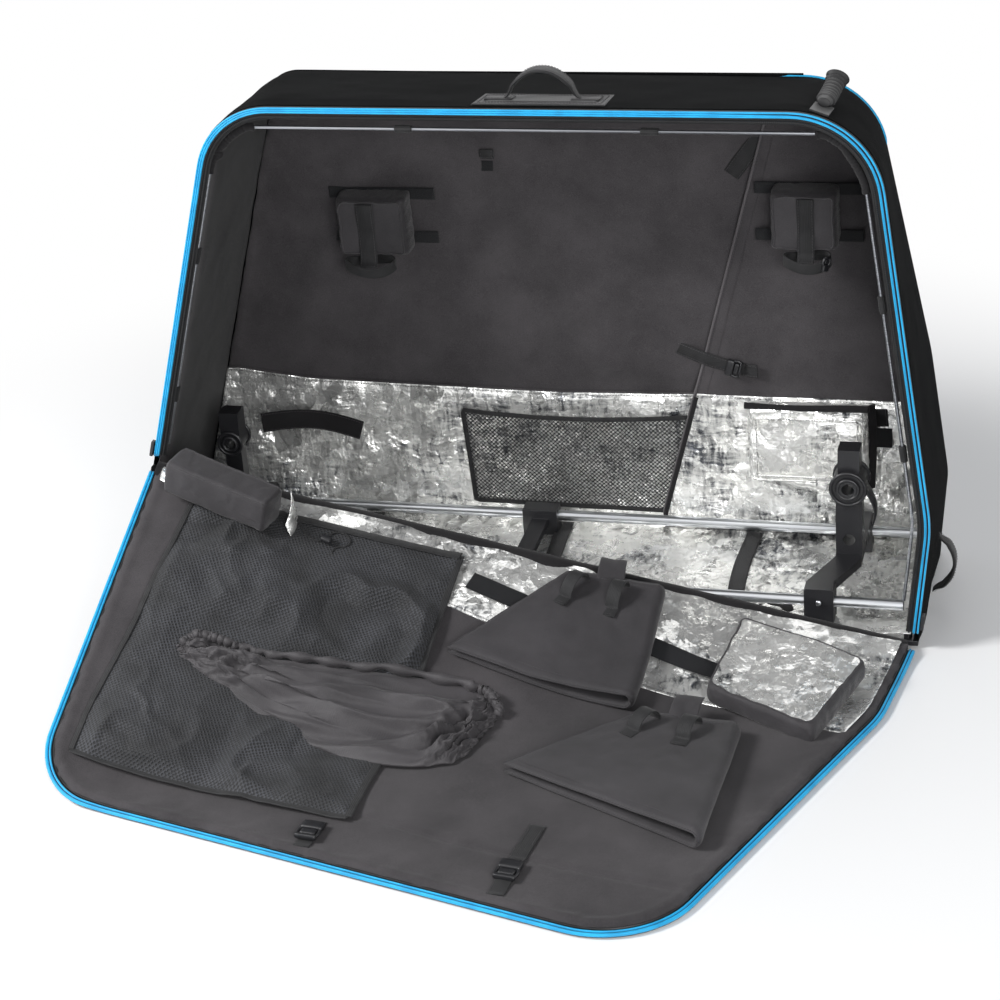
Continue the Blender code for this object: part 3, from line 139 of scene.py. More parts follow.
# Point of the closed door (x, height, stand-off inward) laid down on the floor. Past the soften width
# on each side of the crease the two facets are flat, and between them they join in a parabola.
def onDoor(x, z, n):
    x, z, n = alike(x, z, n)
    along, past = creaseLengths(x, z)
    w = creaseSoften
    t = np.clip((past + w) / (2 * w), 0, 1)
    outer = np.abs(past) > w
    lowPart = np.where(outer, np.maximum(-past, 0), (1 - t) ** 2 * w)
    highPart = np.where(outer, np.maximum(past, 0), t ** 2 * w)
    normal = (1 - t)[..., None] * rampNormal + t[..., None] * upZ
    normal /= np.linalg.norm(normal, axis=-1)[..., None]
    place = foldRight + along[..., None] * creaseRest + lowPart[..., None] * rampUp + highPart[..., None] * floorAway
    return toFrame(place + n[..., None] * normal)


# Point over the upper facet's own plane, also past the crease: its two lengths along that plane's directions
def onUpperDoor(x, z, n):
    x, z, n = alike(x, z, n)
    along, past = creaseLengths(x, z)
    place = foldRight + along[..., None] * creaseRest + past[..., None] * floorAway
    return toFrame(place + n[..., None] * upZ)


# Point near the back wall: x, height, stand-off from the wall's leaning inner face towards the opening
def onWall(x, z, n):
    x, z, n = alike(x, z, n)
    lean = math.atan2(bag["depthAtFloor"] - bag["depthAtTop"], bag["height"])
    return toFrame(np.stack([x, wallDepth(z) - n * math.cos(lean), z - n * math.sin(lean)], -1))


# Outline with rounded corners: each edge moved in by the inset, and each corner an arc of its radius less
# the inset that touches both edges, with the same count of points between the same corners
def outline(corners, inset, startZ, endZ, perArc=14, perLine=10):
    c = np.array(corners)
    lines = []
    for a, b in zip(c[:-1], c[1:]):
        d = unit(b[:2] - a[:2])
        lines.append((a[:2] + np.array([d[1], -d[0]]) * inset, d))
    knots = [lines[0][0] + lines[0][1] * (startZ - lines[0][0][1]) / lines[0][1][1]]
    pieces = []
    for i in range(1, len(c) - 1):
        (p, d), (q, e) = lines[i - 1], lines[i]
        span = q - p
        corner = p + d * (span[0] * e[1] - span[1] * e[0]) / (d[0] * e[1] - d[1] * e[0])
        radius = c[i][2] - inset
        turn = math.acos(np.clip(d @ e, -1, 1))
        inward = np.array([d[1], -d[0]])
        centre = corner - d * radius * math.tan(turn / 2) + inward * radius
        angle = -turn * np.linspace(0, 1, perArc + 1)
        cs, sn = np.cos(angle), np.sin(angle)
        arc = centre - radius * np.stack([inward[0] * cs - inward[1] * sn, inward[0] * sn + inward[1] * cs], -1)
        pieces.append(knots[-1] + (arc[0] - knots[-1]) * np.linspace(0, 1, perLine, endpoint=False)[:, None])
        pieces.append(arc[:-1])
        knots.append(arc[-1])
    p, d = lines[-1]
    last = p + d * (endZ - p[1]) / d[1]
    pieces.append(knots[-1] + (last - knots[-1]) * np.linspace(0, 1, perLine + 1)[:, None])
    return np.concatenate(pieces)


# Length along a path at each of its points: the running sum of its steps
def runLengths(path):
    return np.r_[0, np.cumsum(np.linalg.norm(np.diff(path, axis=0), axis=-1))]


# Points of a path at the wanted lengths, in straight lines between its own
def pointsAt(path, step, want):
    return np.stack([np.interp(want, step, path[:, k]) for k in range(path.shape[1])], -1)


# The same shares of two matching outlines, evenly spaced along the first
def evenPair(front, back, count, low=0.0, high=1.0):
    step = runLengths(front)
    want = np.linspace(low, high, count) * step[-1]
    index = np.interp(want, step, np.arange(len(front)))
    return (*[pointsAt(a, np.arange(len(a)), index) for a in (front, back)], want)


# Curve through points, by cubes that share their slopes: t runs from zero to one between each two points
def curveThrough(points, t):
    p = np.asarray(points, float)
    p = np.concatenate([[2 * p[0] - p[1]], p, [2 * p[-1] - p[-2]]])
    runs = []
    for a, b, c, d in zip(p[:-3], p[1:-2], p[2:-1], p[3:]):
        bend, twist = a * 2 - b * 5 + c * 4 - d, b * 3 - a - c * 3 + d
        runs.append((b * 2 + (c - a) * t + bend * t ** 2 + twist * t ** 3) / 2)
    return np.concatenate(runs + [p[-2:-1]])


# The same curve with evenly spaced points
def smoothCurve(points, count):
    dense = curveThrough(points, np.linspace(0, 1, 20, endpoint=False)[:, None])
    step = runLengths(dense)
    return pointsAt(dense, step, np.linspace(0, step[-1], count))


# Smooth random surface between -1 and 1 over lengths u and v: random values at the corners of squares of
# the given size, joined by smooth steps
def softNoise(u, v, size, seed):
    table = np.random.default_rng(seed).uniform(-1, 1, (64, 64))
    a, b = np.asarray(u) / size + 31.7, np.asarray(v) / size + 17.3
    i, j = np.floor(a).astype(int), np.floor(b).astype(int)
    s, t = a - i, b - j
    s, t = s * s * (3 - 2 * s), t * t * (3 - 2 * t)
    g = lambda m, n: table[(i + m) % 64, (j + n) % 64]
    return (g(0, 0) * (1 - s) + g(1, 0) * s) * (1 - t) + (g(0, 1) * (1 - s) + g(1, 1) * s) * t


# Sum of soft noises, each half as large and half as high as the one before
def layeredNoise(u, v, size, seed, layers=3):
    return sum(softNoise(u, v, size / 2 ** k, seed + k) / 2 ** k for k in range(layers))


# Crumpled foil: triangle waves in random directions over a warped surface, which meet in sharp creases
def crumple(u, v, size, seed, waves=7):
    rng = np.random.default_rng(seed)
    wu = u + softNoise(u, v, size * 2.3, seed + 50) * size * 0.5
    wv = v + softNoise(u, v, size * 2.1, seed + 60) * size * 0.5
    total = 0
    for _ in range(waves):
        angle, phase = rng.uniform(0, math.pi), rng.uniform(0, 1)
        pitch = size * rng.uniform(0.6, 2.2)
        ramp = (wu * math.cos(angle) + wv * math.sin(angle)) / pitch + phase
        total = total + (np.abs(ramp - np.floor(ramp) - 0.5) * 4 - 1) * pitch / size
    return total / waves


# A wave's share of its height at the distance from its middle: one there, near nothing past its width
def hump(distance, width, power=2):
    return np.exp(-(distance / width) ** power)


# Share from zero to one of a distance over a reach
def shareOf(distance, reach):
    return np.clip(distance / reach, 0, 1)


# Shares from zero to one in even steps
def evenly(count):
    return np.linspace(0, 1, count)


# Mesh data as an object in the scene
def placed(name, data):
    piece = bpy.data.objects.new(name, data)
    bpy.context.scene.collection.objects.link(piece)
    return piece


# Object from points and faces in one material
def meshPiece(name, points, faces, material, smooth=True):
    mesh = bpy.data.meshes.new(name)
    mesh.from_pydata(points, [], faces)
    mesh.polygons.foreach_set("use_smooth", np.full(len(mesh.polygons), smooth))
    mesh.materials.append(material)
    return placed(name, mesh)


# Mesh from a grid of points (rows, columns, 3), with lengths along it as its UV map
def gridMesh(name, points, material, wrapRows=False, wrapCols=False, uv=None, capEnds=False, smooth=True,
             flip=False):
    rows, cols = points.shape[:2]
    i, j = np.meshgrid(np.arange(rows - (not wrapRows)), np.arange(cols - (not wrapCols)), indexing="ij")
    i2, j2 = (i + 1) % rows, (j + 1) % cols
    quads = np.stack([i * cols + j, i2 * cols + j, i2 * cols + j2, i * cols + j2], -1).reshape(-1, 4)
    way = -1 if flip else 1
    faces = quads[:, ::way].tolist()
    if capEnds:
        faces += [list(range(cols))[::way], [(rows - 1) * cols + k for k in range(cols)][::-way]]
    piece = meshPiece(name, points.reshape(-1, 3), faces, material, smooth)
    mesh = piece.data
    if uv is None:
        du, dv = runLengths(points[:, cols // 2]), runLengths(points[rows // 2])
        uv = np.stack(np.broadcast_arrays(du[:, None], dv[None, :]), -1)
    layer = mesh.uv_layers.new(name="lengths")
    loopVerts = np.zeros(len(mesh.loops), dtype=np.int32)
    mesh.loops.foreach_get("vertex_index", loopVerts)
    layer.data.foreach_set("uv", uv.reshape(-1, 2)[loopVerts].astype(np.float32).ravel())
    return piece


# Gives an open sheet a thickness on the side that its faces turn away from
def thicken(piece, thickness):
    wall = piece.modifiers.new("thickness", "SOLIDIFY")
    wall.thickness = thickness
    wall.offset = -1.0
    wall.use_even_offset = False
    return piece


# Runs an edit on a mesh in its editable form
def edited(mesh, edit):
    work = bmesh.new()
    work.from_mesh(mesh)
    edit(work)
    work.to_mesh(mesh)
    work.free()


# Turns the faces of a closed mesh outward, after joining points that lie closer than the merge length
def faceOut(piece, merge=1e-6):
    def turn(work):
        if merge:
            bmesh.ops.remove_doubles(work, verts=work.verts, dist=merge)
        bmesh.ops.recalc_face_normals(work, faces=work.faces)
    edited(piece.data, turn)
    return piece


# Directions along a path and two square to it, kept from twisting by leaning on a guide direction
def pathFrames(path, guide):
    tangent = np.gradient(path, axis=0)
    tangent /= np.linalg.norm(tangent, axis=1)[:, None]
    guide = np.broadcast_to(np.asarray(guide, float), path.shape)
    side = np.cross(tangent, guide)
    side /= np.linalg.norm(side, axis=1)[:, None]
    return tangent, side, np.cross(side, tangent)


# Closed profile (m, 2) carried along a path: its first value goes to the side, its second to the guide
def sweep(name, path, profile, guide, material, scale=None, closed=False):
    path = np.asarray(path, float)
    _, side, rise = pathFrames(path, guide)
    size = np.ones(len(path)) if scale is None else np.asarray(scale)
    around = profile[None, :, :1] * side[:, None] + profile[None, :, 1:] * rise[:, None]
    pts = path[:, None] + around * size[:, None, None]
    return faceOut(gridMesh(name, pts, material, wrapRows=closed, wrapCols=True, capEnds=not closed))


# Circle's section of a radius, its second value shrunk or stretched by the flat share
def ring(radius, count=12, flat=1.0):
    a = np.linspace(0, 2 * math.pi, count, endpoint=False)
    return np.stack([np.cos(a) * radius, np.sin(a) * radius * flat], -1)


# Flat strip's section with rounded edges: width across, thickness up
def strip(width, thickness, count=5):
    a = np.linspace(-math.pi / 2, math.pi / 2, count)
    right = np.stack([width / 2 - thickness / 2 + np.cos(a) * thickness / 2, np.sin(a) * thickness / 2], -1)
    return np.concatenate([right, -right])


# Several meshes of one material as one piece
def merged(name, pieces):
    bpy.context.view_layer.update()
    work = bmesh.new()
    graph = bpy.context.evaluated_depsgraph_get()
    for piece in pieces:
        mesh = bpy.data.meshes.new_from_object(piece.evaluated_get(graph))
        mesh.transform(piece.matrix_world)
        work.from_mesh(mesh)
    target = bpy.data.meshes.new(name)
    work.to_mesh(target)
    work.free()
    for material in pieces[0].data.materials:
        target.materials.append(material)
    for piece in pieces:
        bpy.data.objects.remove(piece, do_unlink=True)
    return placed(name, target)


# Sets a piece on its body and hides the nodes that it stands for; the slot is not used
def settle(piece, body, slot, *nodes):
    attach(piece, body)
    if nodes:
        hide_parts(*nodes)
    return piece


# A node's solid with its doubles merged, its edges rounded and its round faces smooth
def dressed(node, material, body, slot, edge=0.0008, name=None, segments=2, angle=35):
    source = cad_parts[node]
    mesh = source.data.copy()

    def clean(work):
        bmesh.ops.remove_doubles(work, verts=work.verts, dist=1e-5)
        bmesh.ops.dissolve_limit(work, angle_limit=math.radians(1), verts=work.verts, edges=work.edges)
    edited(mesh, clean)
    mesh.transform(source.matrix_world)
    piece = placed(name or node + "_finish", mesh)
    mesh.materials.clear()
    mesh.materials.append(material)
    if edge:
        bevel = piece.modifiers.new("edges", "BEVEL")
        bevel.width = edge
        bevel.segments = segments
        bevel.limit_method = "ANGLE"
        bevel.angle_limit = math.radians(angle)
        bevel.harden_normals = True
    mesh.polygons.foreach_set("use_smooth", np.full(len(mesh.polygons), True))
    mesh.set_sharp_from_angle(angle=math.radians(angle))
    return settle(piece, body, slot, node)


# A new material with its node tree and its shader
def nodesOf(name):
    material = bpy.data.materials.new(name)
    material.use_nodes = True
    tree = material.node_tree
    return material, tree, tree.nodes["Principled BSDF"]


# A node with its settings, and each input linked to a socket or set to a value
def addNode(tree, kind, inputs=None, **values):
    node = tree.nodes.new("ShaderNode" + kind)
    for key, value in values.items():
        setattr(node, key, value)
    feed(tree, node, inputs or {})
    return node


# Links sockets to a node's inputs and sets plain values
def feed(tree, node, inputs):
    for key, value in inputs.items():
        if isinstance(value, bpy.types.NodeSocket):
            tree.links.new(value, node.inputs[key])
        else:
            node.inputs[key].default_value = value


# Linear colour of three display values between zero and one
def srgb(r, g, b):
    return tuple(c / 12.92 if c <= 0.04045 else ((c + 0.055) / 1.055) ** 2.4 for c in (r, g, b)) + (1.0,)


# The object's own coordinates, or the lengths of its UV map
def coordinates(tree, kind="Object"):
    return addNode(tree, "TexCoord").outputs[kind]


# One sum of plain numbers
def maths(tree, operation, *values):
    return addNode(tree, "Math", dict(enumerate(values)), operation=operation).outputs[0]


# One sum of directions
def vectorMaths(tree, operation, *values):
    node = addNode(tree, "VectorMath", dict(enumerate(values)), operation=operation)
    return node.outputs["Value" if operation in ("DOT_PRODUCT", "LENGTH") else 0]


# Random value, smooth over a length of one over the scale
def noise(tree, place, scale, detail, roughness=0.5, out="Fac", **values):
    inputs = {"Vector": place, "Scale": scale, "Detail": detail, "Roughness": roughness}
    return addNode(tree, "TexNoise", inputs, **values).outputs[out]


# Bands across one direction of the UV map's lengths
def bands(tree, lengths, scale, distortion, direction):
    return addNode(tree, "TexWave", {"Vector": lengths, "Scale": scale, "Distortion": distortion},
                   bands_direction=direction).outputs["Fac"]


# A value carried from one range to another in proportion
def spread(tree, value, toMin, toMax, fromMin=0.0, fromMax=1.0, **values):
    return addNode(tree, "MapRange", {"Value": value, "From Min": fromMin, "From Max": fromMax, "To Min": toMin,
                                      "To Max": toMax}, **values).outputs["Result"]


# Stretched coordinates: each direction times its own scale, after a turn
def stretched(tree, place, scale, turn=0.0):
    return addNode(tree, "Mapping", {"Vector": place, "Scale": scale,
                                     "Rotation": (0, 0, turn)}).outputs["Vector"]


# Normal tilted by a height's slope
def relief(tree, height, strength, distance):
    return addNode(tree, "Bump", {"Height": height, "Strength": strength, "Distance": distance}).outputs["Normal"]


# Colour between two tones by a noise value
def tones(tree, value, dark, light, low=0.35, high=0.65):
    ramp = addNode(tree, "ValToRGB", {"Fac": value})
    for element, position, color in zip(ramp.color_ramp.elements, (low, high), (dark, light)):
        element.position = position
        element.color = color
    return ramp.outputs["Color"]


# Mix of two colours by a share
def blendColors(tree, share, first, second):
    return addNode(tree, "Mix", {0: share, 6: first, 7: second}, data_type="RGBA").outputs[2]


# Woven or brushed cloth: broad uneven tone, fine grain, a two-way weave bump and a soft sheen
def clothMaterial(name, dark, light, roughness, weave, bump, sheen, gloss=0.18):
    material, tree, shader = nodesOf(name)
    place, lengths = coordinates(tree), coordinates(tree, "UV")
    fine = noise(tree, place, 900.0, 2.0)
    broad = maths(tree, "MULTIPLY", noise(tree, place, 9.0, 5.0, 0.6), 0.55)
    both = maths(tree, "MULTIPLY_ADD", fine, 0.45, broad)
    threads = maths(tree, "ADD", bands(tree, lengths, weave, 0.6, "X"), bands(tree, lengths, weave, 0.6, "Y"))
    height = maths(tree, "MULTIPLY_ADD", fine, 0.8, threads)
    feed(tree, shader, {"Base Color": tones(tree, both, dark, light), "Normal": relief(tree, height, bump, 0.0006),
                        "Roughness": roughness, "Sheen Weight": sheen, "Sheen Roughness": 0.5,
                        "Specular IOR Level": gloss})
    return material


# Crinkled metal film: tilted facets at several sizes and thin ridges between them, with painted reflections in its
# colour: dull and bright patches, streaks and one tone per facet that stand in for glints and reflected dark
def foilMaterial(name):
    material, tree, shader = nodesOf(name)
    place = coordinates(tree)
    moved = addNode(tree, "VectorMath", {0: noise(tree, place, 16.0, 4.0, 0.55, "Color"), "Scale": 0.034},
                    operation="SCALE").outputs[0]
    warped = vectorMaths(tree, "ADD", place, moved)
    ridges = noise(tree, warped, 24.0, 7.0, 0.62, noise_type="RIDGED_MULTIFRACTAL")
    total = maths(tree, "MULTIPLY", ridges, 0.0013)
    # Painted reflections: broad patches, streaks along the crinkles and one tone per facet stand in for glints and
    # reflected dark
    paintedReflection = noise(tree, place, 6.0, 3.0)
    for stretch in ((20.0, 20.0, 190.0), (190.0, 60.0, 20.0)):
        threads = noise(tree, stretched(tree, warped, stretch), 1.0, 3.0)
        paintedReflection = maths(tree, "MULTIPLY_ADD", maths(tree, "SUBTRACT", threads, 0.5), 0.55, paintedReflection)
        total = maths(tree, "MULTIPLY_ADD", threads, 0.0012, total)
    for scale, slope, weight in ((13.0, 0.50, 0.14), (38.0, 0.40, 0.14), (110.0, 0.24, 0.10)):
        cells = addNode(tree, "TexVoronoi", {"Vector": warped, "Scale": scale}, feature="F1").outputs
        tilt = vectorMaths(tree, "SUBTRACT", cells["Color"], (0.5, 0.5, 0.5))
        local = vectorMaths(tree, "SUBTRACT", warped, cells["Position"])
        total = maths(tree, "MULTIPLY_ADD", vectorMaths(tree, "DOT_PRODUCT", tilt, local), slope, total)
        apart = addNode(tree, "SeparateColor", {"Color": cells["Color"]}).outputs[0]
        paintedReflection = maths(tree, "ADD", paintedReflection, maths(tree, "MULTIPLY", maths(tree, "SUBTRACT", apart, 0.5), weight))
    rough = spread(tree, noise(tree, place, 30.0, 4.0), 0.20, 0.36, 0.3, 0.7)
    # Dark grey to near white by the painted reflections, on a partly metallic film
    color = tones(tree, paintedReflection, srgb(0.36, 0.37, 0.39), srgb(0.99, 0.99, 0.98), 0.22, 0.45)
    feed(tree, shader, {"Normal": relief(tree, total, 0.9, 1.0), "Roughness": rough, "Base Color": color,
                        "Metallic": 0.72})
    return material


# Zip tape and piping: a bright dyed tape with a fine twill across it
def tapeMaterial(name, dark, light):
    material, tree, shader = nodesOf(name)
    twill = bands(tree, coordinates(tree, "UV"), 260.0, 0.3, "DIAGONAL")
    color = tones(tree, noise(tree, coordinates(tree), 40.0, 3.0), dark, light)
    feed(tree, shader, {"Base Color": color, "Normal": relief(tree, twill, 0.25, 0.0004), "Roughness": 0.55,
                        "Sheen Weight": 0.15})
    return material


# Ribbed webbing: cords along its length and a cross weave
def webbingMaterial(name, dark, light):
    material, tree, shader = nodesOf(name)
    lengths = coordinates(tree, "UV")
    ribs = maths(tree, "MULTIPLY_ADD", bands(tree, lengths, 210.0, 0.4, "X"), 0.5,
                 bands(tree, lengths, 130.0, 0.8, "Y"))
    color = tones(tree, noise(tree, coordinates(tree), 60.0, 4.0), dark, light)
    feed(tree, shader, {"Base Color": color, "Normal": relief(tree, ribs, 0.5, 0.0006), "Roughness": 0.62,
                        "Sheen Weight": 0.12, "Specular IOR Level": 0.35})
    return material


# Knitted net: rows of holes painted as near-black dots, as painted shade in the hollow behind each hole, or cut
# through where see is above zero
def netMaterial(name, dark, light, cell, see):
    material, tree, shader = nodesOf(name)
    turned = stretched(tree, coordinates(tree, "UV"), (1 / cell, 1 / cell, 1.0), math.radians(45))
    holes = addNode(tree, "TexVoronoi", {"Vector": turned, "Scale": 1.0, "Randomness": 0.15},
                    voronoi_dimensions="2D").outputs["Distance"]
    dots = spread(tree, holes, 0.0, 1.0, 0.20, 0.48)
    base = tones(tree, noise(tree, coordinates(tree), 14.0, 4.0), dark, light)
    # Near black at the holes: painted shade behind the net
    feed(tree, shader, {"Base Color": blendColors(tree, dots, srgb(0.012, 0.013, 0.016), base),
                        "Normal": relief(tree, dots, 0.9, 0.0012), "Roughness": 0.7, "Sheen Weight": 0.06})
    if see:
        feed(tree, shader, {"Alpha": spread(tree, holes, 1 - see, 1.0, 0.36, 0.44)})
    return material


# Moulded plastic or rubber: fine spark-eroded grain and slight uneven gloss
def mouldedMaterial(name, color, roughness, grain=420.0, bump=0.12):
    material, tree, shader = nodesOf(name)
    place = coordinates(tree)
    rough = spread(tree, noise(tree, place, 25.0, 3.0), roughness - 0.07, roughness + 0.09)
    feed(tree, shader, {"Normal": relief(tree, noise(tree, place, grain, 3.0), bump, 0.0004), "Roughness": rough,
                        "Base Color": color})
    return material


# Drawn or brushed metal: long fine streaks along the bag
def brushedMaterial(name, dark, light, roughness):
    material, tree, shader = nodesOf(name)
    streaks = noise(tree, stretched(tree, coordinates(tree), (4.0, 700.0, 700.0)), 1.0, 4.0)
    feed(tree, shader, {"Base Color": tones(tree, streaks, dark, light), "Metallic": 1.0,
                        "Roughness": spread(tree, streaks, roughness - 0.06, roughness + 0.08)})
    return material


# The side lining is charcoal cloth at the mouth, painted lighter there for the light on the rim band, and turns
# further in to black net, darkened further as painted shade inside the walls
def paintLitMouth(material, mouth, fromDepth, toDepth):
    tree = material.node_tree
    shader = tree.nodes["Principled BSDF"]
    cloth = shader.inputs["Base Color"].links[0].from_socket
    apart = addNode(tree, "SeparateXYZ", {"Vector": coordinates(tree)})
    inward = spread(tree, apart.outputs["Y"], 0.0, 1.0, fromDepth, toDepth, interpolation_type="SMOOTHSTEP")
    feed(tree, shader, {"Base Color": blendColors(tree, inward, mouth, cloth)})


liner = clothMaterial("charcoal lining", srgb(0.195, 0.187, 0.194), srgb(0.305, 0.293, 0.301), 0.82, 420.0, 0.30,
                      0.12)
linerDark = clothMaterial("shadowed lining", srgb(0.085, 0.082, 0.087), srgb(0.140, 0.135, 0.141), 0.85, 420.0, 0.3,
                          0.10)
# Lighter copy of the lining: painted highlight for the lit roll of the pocket's hem
litLiner = clothMaterial("lit lining edge", srgb(0.300, 0.288, 0.296), srgb(0.380, 0.368, 0.376), 0.8, 420.0, 0.25,
                           0.25)
shell = clothMaterial("ballistic nylon", srgb(0.045, 0.048, 0.050), srgb(0.095, 0.098, 0.101), 0.90, 330.0, 0.5, 0.0,
                      0.04)
padCloth = clothMaterial("pad cloth", srgb(0.150, 0.144, 0.152), srgb(0.240, 0.231, 0.241), 0.62, 420.0, 0.25, 0.14,
                         0.3)
coverCloth = clothMaterial("cover cloth", srgb(0.185, 0.178, 0.186), srgb(0.275, 0.264, 0.274), 0.55, 420.0, 0.25,
                           0.10, 0.4)
# Side lining: its dark tones are partly painted shade inside the walls, and its lighter mouth tone is partly painted
# light on the rim band
sideLining = clothMaterial("side lining", srgb(0.046, 0.044, 0.048), srgb(0.086, 0.083, 0.088), 0.85, 420.0, 0.3, 0.10)
paintLitMouth(sideLining, srgb(0.34, 0.33, 0.34), -0.120, -0.070)
hookStrip = clothMaterial("hook strip", srgb(0.055, 0.057, 0.072), srgb(0.105, 0.108, 0.128), 0.9, 600.0, 0.9, 0.1)
foil = foilMaterial("crinkled foil")
blueTape = tapeMaterial("cyan tape", srgb(0.02, 0.60, 0.81), srgb(0.07, 0.68, 0.89))
webbing = webbingMaterial("black webbing", srgb(0.050, 0.050, 0.056), srgb(0.105, 0.105, 0.112))
zipDark = webbingMaterial("zip tape", srgb(0.055, 0.056, 0.062), srgb(0.105, 0.106, 0.112))
meshNet = netMaterial("mesh bag net", srgb(0.100, 0.104, 0.118), srgb(0.228, 0.233, 0.252), 0.0044, 0.0)
pocketNet = netMaterial("pocket net", srgb(0.050, 0.052, 0.058), srgb(0.085, 0.088, 0.096), 0.0048, 0.99)
plastic = mouldedMaterial("black plastic", srgb(0.13, 0.13, 0.14), 0.36)
rubber = mouldedMaterial("black rubber", srgb(0.075, 0.075, 0.082), 0.58, 300.0, 0.2)
thread = mouldedMaterial("sewing thread", srgb(0.26, 0.25, 0.26), 0.6, 900.0, 0.1)
coil = mouldedMaterial("zip coil", srgb(0.085, 0.085, 0.092), 0.42, 500.0, 0.1)
alloy = brushedMaterial("satin alloy", srgb(0.70, 0.71, 0.73), srgb(0.86, 0.87, 0.88), 0.30)
rodAlloy = brushedMaterial("rod", srgb(0.52, 0.53, 0.55), srgb(0.70, 0.71, 0.73), 0.30)
print("materials made")

# Camera, fitted to the photograph
view = {"place": (0.84704, -3.16212, 1.77301), "azimuth": 0.27895, "elevation": 0.46851, "roll": -0.07736,
        "lens": 88.63, "sensor": 36.0, "shiftX": 0.00497, "shiftY": 0.01342}


# Camera turned to its azimuth and elevation, then rolled about the line of sight
def makeCamera():
    az, el, roll = view["azimuth"], view["elevation"], view["roll"]
    back = Vector((math.sin(az) * math.cos(el), -math.cos(az) * math.cos(el), math.sin(el)))
    right = Vector((math.cos(az), math.sin(az), 0))
    rise = back.cross(right)
    turned = Matrix((right * math.cos(roll) + rise * math.sin(roll), rise * math.cos(roll) - right * math.sin(roll),
                     back)).transposed().to_4x4()
    camera = placed("camera", bpy.data.cameras.new("camera"))
    camera.matrix_world = Matrix.Translation(view["place"]) @ turned
    camera.data.lens = view["lens"]
    camera.data.sensor_width = view["sensor"]
    camera.data.shift_x = view["shiftX"]
    camera.data.shift_y = view["shiftY"]
    bpy.context.scene.camera = camera


makeCamera()

# Drawcord of the mesh bag, on the same points as its solid
cordRoute = {"shares": ((0.262, 0.298), (0.276, 0.316), (0.293, 0.322), (0.304, 0.313), (0.3045, 0.300),
                        (0.309, 0.288), (0.321, 0.284), (0.331, 0.294), (0.329, 0.309), (0.320, 0.320),
                        (0.321, 0.335), (0.333, 0.345), (0.347, 0.343)),
             "radius": 0.00125, "lift": 0.00665, "perSpan": 4, "lockEdge": 0.0012}


# The cord's route is the curve through its points, and its length is the sum of the route's steps
def makeCord():
    t = np.arange(cordRoute["perSpan"])[:, None] / cordRoute["perSpan"]
    flat = curveThrough(np.array(cordRoute["shares"]) * [bag["length"], bag["height"]], t)
    route = onDoor(flat[:, 0], flat[:, 1], cordRoute["lift"])
    curve = bpy.data.curves.new("drawcord", "CURVE")
    curve.dimensions = "3D"
    curve.bevel_depth = cordRoute["radius"]
    curve.bevel_resolution = 3
    curve.use_fill_caps = True
    spline = curve.splines.new("POLY")
    spline.points.add(len(route) - 1)
    spline.points.foreach_set("co", np.c_[route, np.ones(len(route))].ravel())
    curve.materials.append(webbing)
    piece = settle(placed("drawcord", curve), "door_lower", "webbing", "mesh_bag_cord")
    lock = dressed("cord_lock", plastic, "door_lower", "plastic", cordRoute["lockEdge"])


makeCord()

# Shell: outer nylon and inner lining, carried between the front and the back outline
shellLook = {"rows": 210, "cols": 60, "sag": 0.0022, "sagSize": 0.11, "pucker": 0.0030, "puckerPitch": 0.016,
             "corners": (0.72, 1.66), "cornerWidth": 0.085, "topShare": 0.55, "quilt": 0.0012, "lowest": 0.0125}


# Surface between the front and the back outline: across runs round the bag, back runs into it
def shellSurface(inset, startZ, endZ, rows, cols, backGap=0.0):
    front, back, along = evenPair(outline(frontCorners, inset, startZ, endZ),
                                  outline(backCorners, inset, startZ, endZ), rows)
    t = evenly(cols)[None, :, None]
    flat = front[:, None] * (1 - t) + back[:, None] * t
    start = bag["bodyFront"]
    depth = start + (wallDepth(back[:, 1])[:, None] - backGap - start) * t[..., 0]
    points = np.stack([flat[..., 0], depth, flat[..., 1]], -1)
    normal = np.cross(np.gradient(points, axis=1), np.gradient(points, axis=0))
    normal /= np.linalg.norm(normal, axis=-1)[..., None]
    return points, normal, along


# Outside sags by soft noise, and the lining puckers in sine waves at the corners and along the top
def makeShell():
    s = shellLook
    points, normal, along = shellSurface(0.0, bag["housingTop"], s["lowest"], s["rows"], s["cols"])
    u, v = np.broadcast_arrays(along[:, None], points[..., 1])
    edge = shareOf(np.minimum(v - bag["bodyFront"], wallDepth(points[..., 2]) - v), 0.03)
    sag = (layeredNoise(u, v, s["sagSize"], 3) - 0.8) * s["sag"] * edge
    outer = gridMesh("shell_outer", toFrame(points + normal * sag[..., None]), shell, uv=np.stack([u, v], -1))
    faceOut(thicken(outer, clothThick))
    settle(outer, "bag", "shell", "gusset_left", "gusset_top", "gusset_right")
    inner, normal, along = shellSurface(bag["wall"], bag["housingTop"], s["lowest"], s["rows"] * 2, s["cols"], 0.0006)
    u, v = np.broadcast_arrays(along[:, None], inner[..., 1])
    bend = s["topShare"] * shareOf(along - 0.70, 0.04) * shareOf(1.68 - along, 0.04)
    for centre in s["corners"]:
        bend = np.maximum(bend, hump(along - centre, s["cornerWidth"]))
    pucker = np.abs(np.sin(math.pi * u / s["puckerPitch"] + layeredNoise(u, v, 0.05, 9) * 2.0)) * s["pucker"]
    mouth = shareOf(v - bag["bodyFront"], 0.02)
    fade = mouth * shareOf(0.16 - v, 0.12)
    wave = -(pucker * bend[:, None] * fade) - 0.0012 + layeredNoise(u, v, 0.07, 21) * s["quilt"] * mouth
    clothPiece("shell_lining", toFrame(inner + normal * wave[..., None]), sideLining, u, v, "liner", clothThick,
               flip=True)


